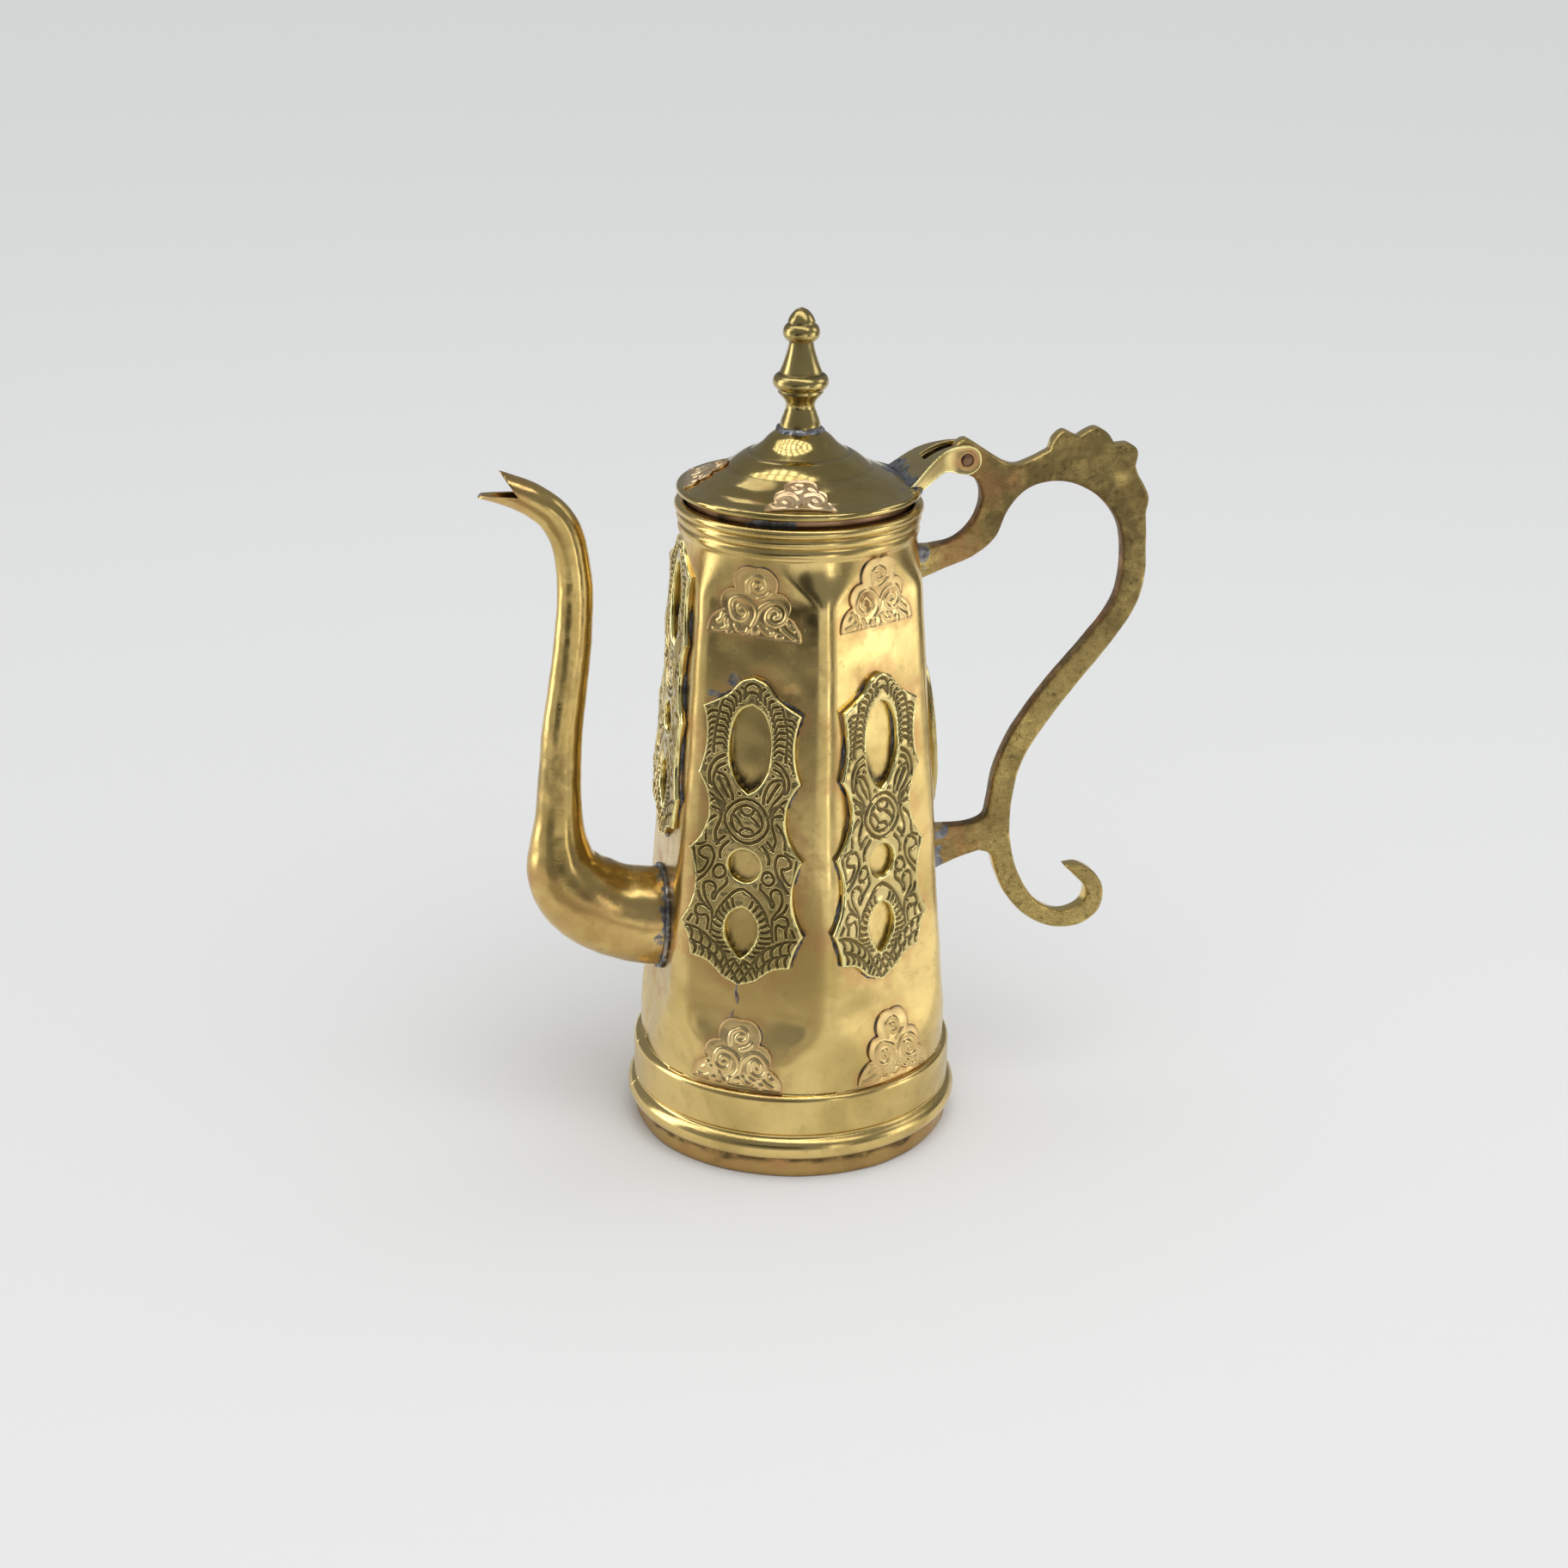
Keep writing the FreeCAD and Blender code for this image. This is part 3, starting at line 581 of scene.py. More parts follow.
RED_BRASS = brass("brass_red", (0.44, 0.27, 0.15), (0.26, 0.15, 0.09), 0.26, 0.46,
                  marks=("soot_and_shade", "solder"), grain=0.00004)
SOLDER = dull_solder("solder_grey", (0.40, 0.40, 0.42), (0.12, 0.12, 0.125))
DARK_SOLDER = dull_solder("solder_dark", (0.20, 0.20, 0.23), (0.05, 0.048, 0.05))


# ---- mesh tools --------------------------------------------------------------------------
def taken(obj):
    """Points and faces of an object with its modifiers applied; the object is removed."""
    graph = bpy.context.evaluated_depsgraph_get()
    mesh = bpy.data.meshes.new_from_object(obj.evaluated_get(graph))
    points = np.zeros(len(mesh.vertices) * 3, np.float32)
    mesh.vertices.foreach_get("co", points)
    faces = [tuple(face.vertices) for face in mesh.polygons]
    bpy.data.meshes.remove(mesh)
    bpy.data.objects.remove(obj)
    return points.reshape(-1, 3).astype(float), faces


def cut_by(points, faces, near, far):
    """The closed mesh, in millimetres, with the prism between two like outlines cut out of
    it; near runs counter-clockwise seen from far."""
    n = len(near)
    sides = [(k, (k + 1) % n, n + (k + 1) % n, n + k) for k in range(n)]
    work = new_object("work", points, faces)
    tool = new_object("tool", near + far, sides + [tuple(range(n))[::-1], tuple(range(n, 2 * n))])
    modifier = work.modifiers.new("cut", "BOOLEAN")
    modifier.operation = "DIFFERENCE"
    modifier.solver = "EXACT"
    modifier.object = tool
    result = taken(work)
    bpy.data.objects.remove(tool)
    return result


def trimmed(points, faces, at, normal):
    """The closed mesh with everything behind a plane cut off, and the cut closed."""
    mesh = bmesh.new()
    verts = [mesh.verts.new(p) for p in points]
    for face in faces:
        mesh.faces.new([verts[k] for k in face])
    geometry = list(mesh.verts) + list(mesh.edges) + list(mesh.faces)
    done = bmesh.ops.bisect_plane(mesh, geom=geometry, plane_co=at, plane_no=normal, clear_inner=True)
    rim = [e for e in done["geom_cut"] if isinstance(e, bmesh.types.BMEdge)]
    bmesh.ops.triangle_fill(mesh, edges=rim, use_beauty=True)
    bmesh.ops.recalc_face_normals(mesh, faces=mesh.faces)
    mesh.verts.index_update()
    found = np.array([tuple(v.co) for v in mesh.verts])
    result = found, [tuple(v.index for v in face.verts) for face in mesh.faces]
    mesh.free()
    return result


def softened(node, voxel, rounds, rough=0.0, length=3.0, seed=1):
    """Points and faces of a CAD node's shape with its edges rounded off."""
    source = frame["nodes"][node].data
    scaled = [tuple(v.co * 1000.0) for v in source.vertices]
    work = new_object("work", scaled, [tuple(face.vertices) for face in source.polygons])
    weld = work.modifiers.new("weld", "WELD")
    weld.merge_threshold = 0.002
    remesh = work.modifiers.new("remesh", "REMESH")
    remesh.mode = "VOXEL"
    remesh.voxel_size = voxel
    smooth = work.modifiers.new("smooth", "SMOOTH")
    smooth.iterations = rounds
    smooth.factor = 0.5
    points, faces = taken(work)
    if rough:
        centre = points.mean(axis=0)
        away = points - centre
        away /= np.maximum(np.linalg.norm(away, axis=1, keepdims=True), 1e-6)
        points = points + away * wave(points, length, rough, seed)[:, None]
    return points, faces


def blob(points, centre, radius, ragged=0.35, seed=5):
    """Mark near 1 within radius of centre, fading unevenly outside."""
    away = np.linalg.norm((points - np.asarray(centre, float)) / radius, axis=1)
    return 1.0 - smoothstep((away + wave(points, 7.0, ragged * 0.5, seed) - 0.6) / 0.6)


# ---- where things sit on the facets ------------------------------------------------------
def flat_apothem(z):
    return APOTHEM_LOW - TAPER * (z - FACET_LOW_Z)


def body_section(z):
    """Apothem and corner radius of the body at height z: round, faceted, round again."""
    apothem = flat_apothem(z)
    corner = between(CORNER_R_LOW, CORNER_R_HIGH, (z - FLAT_LOW_Z) / (FLAT_HIGH_Z - FLAT_LOW_Z))
    low = smoothstep((FLAT_LOW_Z - z) / (FLAT_LOW_Z - FACET_LOW_Z))
    high = smoothstep((z - FLAT_HIGH_Z) / (FACET_HIGH_Z - FLAT_HIGH_Z))
    apothem = between(apothem, ROUND_LOW_R, low)
    corner = between(corner, ROUND_LOW_CORNER, low)
    apothem = between(apothem, NECK_R, high)
    corner = between(corner, NECK_R - 0.4, high)
    return apothem, corner


def body_radius(angle, z, offset=0.0):
    """Distance of the faceted body's surface from the axis, in polar form."""
    apothem, corner = body_section(z)
    apothem, corner = apothem + offset, corner + offset
    half = math.pi / FACETS
    local = np.abs((angle + half) % (2 * half) - half)
    reach = (apothem - corner) / math.cos(half)
    flat = apothem / np.cos(local)
    from_corner = half - local
    arc_r = reach * np.cos(from_corner) + np.sqrt(
        np.maximum(corner ** 2 - (reach * np.sin(from_corner)) ** 2, 0.0))
    return np.where(np.tan(local) * apothem <= (apothem - corner) * math.tan(half), flat, arc_r)


def facet_axes(angle):
    a = math.radians(angle)
    across = np.array([-math.sin(a), math.cos(a), 0.0])
    out = np.array([math.cos(a) * math.cos(TILT), math.sin(a) * math.cos(TILT), math.sin(TILT)])
    return across, np.cross(out, across), out


def facet_spot(angle, z, shift=0.0):
    """The point of a facet at height z, shifted across it."""
    a, reach = math.radians(angle), flat_apothem(z)
    return np.array([reach * math.cos(a), reach * math.sin(a), z]) + facet_axes(angle)[0] * shift


def leaned(x, y, lean):
    """x and y after a turn of lean degrees."""
    turn = math.radians(lean)
    return x * math.cos(turn) - y * math.sin(turn), x * math.sin(turn) + y * math.cos(turn)


def on_facet(points, angle, z, shift=0.0, lean=0.0):
    """(x across, y up, height) points laid on a flat facet, as in the CAD source."""
    across, up, out = facet_axes(angle)
    x, y = leaned(points[:, 0], points[:, 1], lean)
    return facet_spot(angle, z, shift) + x[:, None] * across + y[:, None] * up + points[:, 2:] * out


def over_facet(points, angle, z, shift=0.0, lean=0.0):
    """Where 3-D points fall on a facet, as (x across, y up) about that height; far away for
    points on other facets."""
    x, y, depth = ((points - facet_spot(angle, z, shift)) @ axis for axis in facet_axes(angle))
    flat = np.stack(leaned(x, y, -lean), axis=1)
    flat[np.abs(depth) > 4.5] = 500.0
    return flat


def round_facet(points, angle, z, shift, lean):
    """The same, but wrapped over the body's own surface with its rounded corners."""
    a = math.radians(angle)
    x, y = leaned(points[:, 0], points[:, 1], lean)
    x = x + shift
    height = z + y * math.cos(TILT)
    apothem, corner = body_section(height)
    over = np.maximum(np.abs(x) - (apothem - corner) * math.tan(math.pi / FACETS), 0.0)
    lean_out = np.clip(over / corner, 0.0, 0.95)
    upright = np.sqrt(1.0 - lean_out ** 2)
    depth = apothem - corner + corner * upright
    side = x + points[:, 2] * lean_out * np.sign(x)
    swell = bulge(np.arctan2(x, depth), height)
    depth = depth + swell + points[:, 2] * upright
    return np.stack([depth * math.cos(a) - side * math.sin(a),
                     depth * math.sin(a) + side * math.cos(a), height], axis=1)


# ---- body --------------------------------------------------------------------------------
def dents(points):
    """Uneven hand-worked sheet: long soft waves, hammer marks, and one small dent."""
    hollow = wave(points, 46.0, 0.14, 11) + wave(points, 13.0, 0.03, 12)
    away = np.linalg.norm(points - np.array((-9.8, -36.6, 157.0)), axis=1) / 1.6
    return hollow - 0.35 * hump(away, 0.0, 1.0)


def bulge(angle, z):
    """How far a facet's middle swells past flat, none of it at the corners."""
    half = math.pi / FACETS
    local = (angle + half) % (2 * half) - half
    calm = smoothstep((z - 34.0) / 22.0) * smoothstep((196.0 - z) / 20.0)
    return 0.30 * np.cos(local * math.pi / (2 * half)) ** 2 * calm


def body_mesh():
    per_facet = 48
    t = np.linspace(-1.0, 1.0, per_facet, endpoint=False)
    local = math.radians(30.0) * (1.5 * t - 0.5 * t ** 3)
    angles = np.concatenate([local + k * TAU / FACETS for k in range(FACETS)])
    seam = np.radians([-0.9, -0.45, -0.2, 0.2, 0.45, 0.9]) + math.pi
    angles = np.unique(np.round(np.concatenate([angles % TAU, seam, [math.pi]]), 6))
    facet_rows = resampled([(0, FACET_LOW_Z), (0, FACET_HIGH_Z)], 0.8)[:, 1]
    ring = eased(path((PAN_INNER_R, FOOT_H), [
        (FOOT_R, FOOT_H), [(BEAD_R, 10.6), (51.9, 13.6)], [(51.1, 14.5), (BAND_R, 15.6)],
        (BAND_R, 26.4), [(51.1, 27.8), (49.9, FACET_LOW_Z)]], 0.5), 0.3, closed=False)
    neck = eased(path((NECK_R, FACET_HIGH_Z), [
        [(37.2, 199.3), (36.5, 201.0)], [(37.6, 202.9), (36.9, 204.4)],
        [(LIP_R, LIP_Z), (37.0, LIP_Z + 1.4)], [(35.7, LIP_Z + 1.3), (NECK_BORE_R, LIP_Z + 0.2)],
        (NECK_BORE_R, FACET_HIGH_Z)], 0.4), 0.25, closed=False)
    inner = path((49.9 - SHEET, FACET_LOW_Z), [
        [(49.5, 27.2), (BAND_R - SHEET, 26.0)], (BAND_R - SHEET, 16.0), [(49.8, 14.5), (50.7, 13.0)],
        [(BEAD_R - SHEET, 10.6), (PAN_INNER_R, FOOT_H + SHEET)]], 1.0)

    def round_rows(profile):
        return [(np.full(len(angles), r), z) for r, z in profile]

    rows = round_rows(ring) + [(body_radius(angles, z), z) for z in facet_rows] + round_rows(neck[1:])
    rows += [(body_radius(angles, z, -SHEET), z) for z in facet_rows[::-1][::6]] + round_rows(inner)
    points = np.concatenate([
        np.stack([r * np.cos(angles), r * np.sin(angles), np.full(len(angles), z)], axis=1)
        for r, z in rows])
    z, around = points[:, 2], np.arctan2(points[:, 1], points[:, 0])
    calm = smoothstep((z - 30.0) / 10.0) * smoothstep((196.0 - z) / 12.0)
    outer_side = np.repeat(np.arange(len(rows)) < len(ring) + len(facet_rows), len(angles))
    groove = 0.28 * hump(around % TAU, math.pi, math.radians(0.3))
    push = dents(points) * calm + bulge(around, z) - np.where(outer_side & (z < 62.0), groove, 0.0)
    push_out(points, push)
    faces = grid_faces(len(rows), len(angles), wrap_rows=True)
    hole = [(SPOUT_HOLE_HALF_Y * math.cos(a), SPOUT_Z + SPOUT_HOLE_HALF_Z * math.sin(a))
            for a in np.linspace(0, TAU, 64, endpoint=False)]
    return cut_by(points, faces, *([(x, y, z) for y, z in hole] for x in (-60.0, -30.0)))


PANELS = {
    "panel_front_left": (-120, 112.0, -2.4, -1.1),
    "panel_front_right": (-60, 112.0, -2.9, -2.0),
    "panel_back_left": (120, 112.0, 1.2, 1.0),
    "panel_back_right": (60, 112.0, -1.0, -1.4),
    "panel_spout_side": (180, 148.6, -1.0, 0.8),
}
TOP_BADGES = {
    "front_left": (173.4, -2.4, -1.5),
    "front_right": (175.2, -1.0, -0.5),
    "back_left": (174.2, 1.4, 1.0),
    "back_right": (173.8, -0.6, -1.0),
}
LOW_BADGES = {
    "front_left": (29.6, -3.0, -2.0),
    "front_right": (29.4, -0.2, -1.0),
    "back_left": (29.4, 1.2, 1.0),
    "back_right": (29.5, -1.4, 1.5),
}
BADGE_SIZE = (29.8, 21.6)
LID_BADGE_SIZE = (21.4, 12.6)
PANEL_TOP = (0.0, 49.5)
PANEL_SIDE = [
    [(3.9, 48.0), (7.8, 43.6), (15.6, 39.2)],
    [(14.0, 28.4), (16.4, 17.8)],
    [(12.3, 5.8), (18.4, -6.6)],
    [(15.8, -18.4), (20.0, -30.4)],
    [(17.4, -35.8), (16.2, -41.4)],
    [(10.6, -43.0), (5.2, -47.3), (0.0, -49.4)],
]

OVAL_SIDE = [[(3.4, 38.9), (5.7, 34.4), (6.6, 27.4), (5.6, 20.4), (2.9, 15.2), (0.0, 12.9)]]
DROP_SIDE = [[(2.9, -25.1), (4.9, -28.2), (5.2, -32.0), (3.8, -36.0), (1.8, -38.8), (0.0, -40.5)]]


def panel_loops(step=0.4):
    rim = eased(both_sides(PANEL_TOP, PANEL_SIDE, step), 0.5)
    oval = both_sides((0.0, 40.8), OVAL_SIDE, step)
    ring = path((0.0, -5.0), [[(5.2, -10.2), (0.0, -15.4)], [(-5.2, -10.2), (0.0, -5.0)]], step)[:-1]
    drop = both_sides((0.0, -23.6), DROP_SIDE, step)
    return [rim, oval, ring, drop]


def badge_loop(step=0.4):
    w, h = BADGE_SIZE[0] / 2.0, BADGE_SIZE[1]
    steps = [[(0.42 * w, 0.9 * h), (0.44 * w, 0.67 * h)], [(0.74 * w, 0.52 * h), (0.68 * w, 0.35 * h)],
             [(0.93 * w, 0.22 * h), (w, 0.0)]]
    foot = resampled([(w, 0.0), (-w, 0.0)], step)[1:-1]
    return eased(both_sides((0.0, h), steps, step, [foot]), 0.35)


def body_marks(points):
    """Heat tints round the ornaments, painted shadow of the panels' rims inside their holes with some patina,
    and wisps of solder.
    """
    tint, soot_and_shade, solder = (np.zeros(len(points)) for _ in range(3))
    loops = panel_loops(1.2)
    for k, spot in enumerate(PANELS.values()):
        flat = over_facet(points, *spot)
        near = (np.abs(flat) < (30, 60)).all(axis=1)
        close = flat[near]
        ragged = wave(points[near], 9.0, 0.45, 30 + k) + wave(points[near], 3.0, 0.2, 40 + k)
        edge = distance_to(close, loops[0], closed=True)
        tint[near] = np.maximum(tint[near], 0.60 * (1.0 - smoothstep((edge - 0.8) / 5.5 + 0.5 * ragged)))
        # Painted shadow of the panel's rim inside each hole, deeper towards one side, with some patina.
        for hole in loops[1:]:
            within = inside(close, hole)
            middle = hole.mean(axis=0)
            corner = np.clip(((middle - close) @ (0.55, 0.83)) / 9.0, 0.0, 1.0)
            rim = 1.0 - smoothstep((distance_to(close, hole, closed=True) - 0.4) / (1.0 + 3.2 * corner))
            soot_and_shade[near] = np.maximum(soot_and_shade[near], within * rim * (0.45 + 0.95 * corner))
    for name, angle in CORNER_FACETS.items():
        for spot in (TOP_BADGES[name], LOW_BADGES[name]):
            flat = over_facet(points, angle, *spot)
            near = (np.abs(flat[:, 0]) < 24) & (flat[:, 1] > -8) & (flat[:, 1] < 30)
            edge = distance_to(flat[near], badge_loop(1.2), closed=True)
            ragged = wave(points[near], 7.0, 0.5, 60)
            tint[near] = np.maximum(tint[near], 0.5 * (1.0 - smoothstep((edge - 0.4) / 2.6 + 0.5 * ragged)))
    flat = over_facet(points, *PANELS["panel_front_left"])
    for centre, size in (((-6.5, 47.5), (3.4, 3.2)), ((-13.0, 42.6), (3.2, 1.8))):
        away = np.hypot(*((flat - centre) / size).T)
        solder = np.maximum(solder, 0.62 * (1.0 - smoothstep(away - 0.3)))
    soot_and_shade = np.maximum(soot_and_shade, 0.7 * (1.0 - smoothstep((points[:, 2] - FOOT_H) / 1.6)))
    for angle, centre_z, size in ((0, 88.6, 13.0), (0, 184.6, 12.0), (180, SPOUT_Z, 22.0)):
        tint = np.maximum(tint, 0.7 * blob(points, facet_spot(angle, centre_z), size, seed=71))
    return {"tint": np.clip(tint, 0, 1), "soot_and_shade": np.clip(soot_and_shade, 0, 1), "solder": solder}


points, faces = body_mesh()
add_piece("pot_body", points, faces, "body_shell", "polished_brass", BODY_BRASS, body_marks(points))


def pan_mesh():
    points, faces = turned(0.0, [
        (FOOT_R - 1.6, 0.0), [(FOOT_R - 0.45, 0.35), (FOOT_R, 1.4)], (FOOT_R - 0.15, FOOT_H),
        (PAN_INNER_R, FOOT_H), (PAN_INNER_R, 2.0), (PAN_INNER_R - 1.2, SHEET), (0.001, SHEET)],
        0.8, 180, ease=0.25)
    side = smoothstep((from_axis(points) - 40.0) / 6.0)
    push_out(points, (wave(points, 22.0, 0.12, 21) - 0.14) * side)
    return points, faces


points, faces = pan_mesh()
seam = smoothstep((points[:, 2] - 4.6 - wave(points, 9.0, 0.5, 22)) / 1.4)
add_piece("foot_pan", points, faces, "base_pan", "polished_brass", PAN_BRASS,
          {"soot_and_shade": np.clip(0.85 * seam, 0, 1), "tint": np.clip(0.2 + wave(points, 20.0, 0.35, 23), 0, 1)})


# ---- spout -------------------------------------------------------------------------------
SPOUT_LINE = [
    (-36.0, 71.0, 32.0), (-48.2, 72.4, 31.6), (-60.0, 75.8, 30.0), (-69.6, 82.4, 28.2),
    (-74.6, 90.6, 23.6), (-75.7, 98.4, 18.9), (-75.6, 107.5, 15.3), (-75.2, 119.5, 13.8),
    (-74.0, 136.5, 12.8), (-71.9, 153.5, 12.0), (-70.0, 170.0, 11.4), (-69.5, 181.0, 11.0),
    (-70.2, 191.0, 10.6), (-72.0, 199.0, 10.6), (-76.0, 205.6, 10.4), (-81.8, 210.3, 10.0),
    (-88.4, 213.4, 9.8), (-96.6, 216.4, 9.8),
]
SPOUT_DEPTH = 0.92


def spout_rings(line, offset, columns, hammered):
    """Rings of points round the centre line, offset from the outer surface."""
    along = np.gradient(line[:, (0, 1)], axis=0)
    along /= np.linalg.norm(along, axis=1, keepdims=True)
    angle = np.arange(columns) * TAU / columns
    rings = []
    for (x, z, width), (ax, az) in zip(line, along):
        side = width / 2.0 * np.cos(angle)
        flat = width / 2.0 * SPOUT_DEPTH * np.sin(angle)
        ring = np.stack([x + az * side, flat, z - ax * side], axis=1)
        outward = np.stack([az * np.cos(angle) * SPOUT_DEPTH, np.sin(angle),
                            -ax * np.cos(angle) * SPOUT_DEPTH], axis=1)
        outward /= np.linalg.norm(outward, axis=1, keepdims=True)
        push = offset + np.zeros(columns)
        if hammered:
            fade = smoothstep((np.hypot(x + 42.0, z - 72.0) - 2.0) / 8.0)
            push = push + fade * (wave(ring, 19.0, 0.09, 31) + wave(ring, 6.0, 0.03, 32))
        rings.append(ring + outward * push[:, None])
    return rings


def spout_mesh():
    line = spline(SPOUT_LINE, 1.1)
    columns = 72
    rows = spout_rings(line, 0.0, columns, True) + spout_rings(line, -SHEET, columns, True)[::-1]
    points = np.concatenate(rows)
    faces = grid_faces(len(rows), columns, wrap_rows=True)
    beak = [(-97.0, 212.6), (-106.0, 208.0), (-106.0, 224.0), (-94.0, 226.0), (-91.9, 220.2),
            (-86.5, 212.1)]
    points, faces = cut_by(points, faces, *([(x, y, z) for x, z in beak] for y in (-12.0, 12.0)))
    return trimmed(points, faces, (-flat_apothem(SPOUT_Z), 0.0, SPOUT_Z), tuple(facet_axes(180)[2]))


points, faces = spout_mesh()
root = 1.0 - smoothstep((-points[:, 0] - 45.0 + wave(points, 8.0, 1.2, 33)) / 4.0)
add_piece("spout_tube", points, faces, "spout", "polished_brass", SPOUT_BRASS, {
    "solder": 0.55 * root * (points[:, 2] > 50),
    "tint": np.clip(0.35 * (1 - smoothstep((points[:, 2] - 84.0) / 20.0))
                    + 0.5 * smoothstep((-80.0 - points[:, 0]) / 6.0), 0, 1),
    "soot_and_shade": np.clip(0.35 * wave(points, 30.0, 0.5, 34), 0, 1)})


# ---- lid ---------------------------------------------------------------------------------
LID_TOP = (7.2, LID_TOP_Z)
LID_OUTER = [[(9.4, 227.0), (12.0, 224.4), (15.0, 222.2)],
             [(17.0, 221.6), (20.0, 219.6), (22.0, 217.9)],
             [(27.0, 215.9), (32.0, 213.4), (35.9, 212.2)]]
LID_FACE = path(LID_TOP, LID_OUTER, 0.3)


def lid_height(radius):
    """Height of the lid's outer surface at a distance from its axis."""
    line = LID_FACE[np.argsort(LID_FACE[:, 0])]
    return np.interp(radius, line[:, 0], line[:, 1])


def lid_mesh():
    bead = 1.35
    rim_x = LID_R - bead
    chain = [LID_TOP] + sum(LID_OUTER, [])
    under = [(r - 0.45, z - SHEET) for r, z in chain[::-1][1:]]
    outline = path((2.5, LID_TOP_Z), [
        LID_TOP, *LID_OUTER, [(LID_R, LID_Z + bead), (rim_x, LID_Z)], (rim_x - 1.1, LID_Z + 0.4),
        (rim_x - 1.3, LID_Z + 1.5), under, (2.5, LID_TOP_Z - SHEET)], 0.35)
    points, faces = lathe(eased(outline[::-1], 0.45), 192)
    radius = from_axis(points)
    calm = smoothstep((radius - 9.0) / 4.0) * smoothstep((36.0 - radius) / 3.0)
    points[:, 2] += calm * wave(points[:, :2], 19.0, 0.04, 41)
    return points, faces


points, faces = lid_mesh()
radius = from_axis(points)
hinge_side = blob(points, (33.0, 0.0, 214.0), (8.0, 17.0, 6.0))
badge_glow = np.max([blob(points, (*leaned(30.5, 0.0, angle), 214.5), (13.0, 13.0, 6.0), seed=43)
                     for angle in LID_BADGES.values()], axis=0) * smoothstep((34.0 - radius) / 3.0)
# Painted shade in the creases at the foot of the cone and at the foot of the moulding.
add_piece("lid_shell", points, faces, "lid_dome", "lid_brass", LID_BRASS, {
    "solder": 0.8 * hinge_side, "tint": np.clip(0.45 * badge_glow + 0.3 * hinge_side, 0, 1),
    "soot_and_shade": 0.35 * hump(radius, 15.3, 0.5) + 0.2 * hump(radius, 22.2, 0.7)})

ring = eased(np.array([(33.6, 211.9), (34.6, 211.4), (34.6, 207.7), (34.2, 203.8), (33.2, 203.8),
                       (33.6, 207.7)][::-1]), 0.3)
points, faces = lathe(resampled(np.concatenate([ring, ring[:1]]), 0.5)[:-1], 160)
points[:, :2] *= 1.0 + (wave(points, 14.0, 0.05, 45) / 34.0)[:, None]
add_piece("lid_inner_ring", points, faces, "lid_bezel", "red_brass", RED_BRASS, {
    "solder": blob(points, (-16.0, -30.0, 206.0), (11.0, 8.0, 4.0)),
    "soot_and_shade": np.clip(wave(points, 12.0, 0.7, 46), 0, 1)})


def knob_mesh():
    low = LID_TOP_Z
    return turned(low - SHEET - 0.9, [
        (2.5, low - SHEET - 0.9), (2.5, low), (6.3, low),
        [(6.1, low + 2.2), (5.0, low + 5.4), (4.4, low + 7.3), (4.7, low + 8.9), (6.9, low + 11.7)],
        (6.9, low + 12.6), [(8.5, low + 14.9), (7.0, low + 17.3)], (6.6, low + 17.6),
        [(5.6, low + 20.0), (4.3, low + 24.0), (3.6, low + 27.0)], [(5.6, low + 29.8), (4.2, low + 32.4)],
        [(4.1, low + 33.3), (3.3, low + 34.9), (1.9, low + 36.4), (0.001, low + 37.3)]],
        0.25, 112, ease=0.3)


points, faces = knob_mesh()
# Painted shade in the knob's grooves.
grooves = np.sum([hump(points[:, 2], LID_TOP_Z + z, 0.5) for z in (0.0, 11.9, 17.5, 27.0, 32.5)], axis=0)
soot_and_shade = np.clip(0.8 * grooves, 0, 1)
add_piece("lid_knob", points, faces, "finial", "lid_brass", KNOB_BRASS, {"soot_and_shade": soot_and_shade})


# ---- handle ------------------------------------------------------------------------------
PIVOT = (51.8, 218.0)
HANDLE_START = (50.6, 213.8)
HANDLE_LOOP = [(50.0, 96.0), (58.4, 96.7), (62.6, 98.6), (63.9, 103.4), (65.6, 114.4), (71.3, 128.0),
               (81.0, 141.9), (94.9, 158.4), (102.6, 169.4), (104.8, 181.0), (102.8, 195.0),
               (95.4, 204.2), (84.6, 209.2), (73.6, 208.1), (66.6, 201.6), (62.6, 192.6),
               (56.2, 187.1), (42.0, 181.8)]
HANDLE_EYE = [(42.0, 190.4), (49.8, 192.6), (55.2, 197.8), (57.6, 205.6), (55.8, 210.9), HANDLE_START]
HANDLE_STEPS = [
    [(47.7, 216.2), (47.5, 219.8), (49.5, 223.1), (52.0, 224.2), (54.6, 222.9)],
    (61.8, 218.1),
    [(65.0, 216.3), (68.6, 215.3), (73.4, 216.8), (79.0, 219.4)],
    [(80.5, 223.2), (83.6, 225.5), (86.2, 224.4), (88.4, 223.4)],
    [(90.6, 224.8), (94.0, 226.0), (97.6, 224.2), (100.2, 220.4)],
    [(102.2, 220.5), (105.0, 220.5), (107.8, 218.2), (107.4, 213.2)],
    [(108.6, 210.2), (110.6, 207.0), (112.3, 203.2), (111.7, 198.0)],
    [(112.4, 188.0), (112.5, 176.0), (109.8, 167.0), (101.7, 154.6), (90.9, 141.3),
     (80.8, 127.6), (74.4, 116.0), (71.7, 102.0), (72.0, 89.4), (75.3, 77.6),
     (82.2, 67.2), (91.0, 63.0), (97.4, 65.3), (98.6, 70.6), (95.0, 75.0), (90.8, 79.2)],
    [(95.8, 79.4), (101.6, 75.9), (104.9, 69.6), (103.4, 62.2), (97.2, 57.7),
     (87.4, 57.8), (78.4, 62.4), (71.0, 70.8), (67.2, 79.2), (65.0, 85.4), (61.4, 87.0)],
    [(56.0, 85.6), (46.0, 82.3), (38.0, 80.0)],
    (38.0, 95.8),
    (50.0, 96.0),
    HANDLE_LOOP[1:],
    (31.0, 178.0),
    (31.0, 190.0),
    (42.0, 190.4),
    HANDLE_EYE[1:],
]


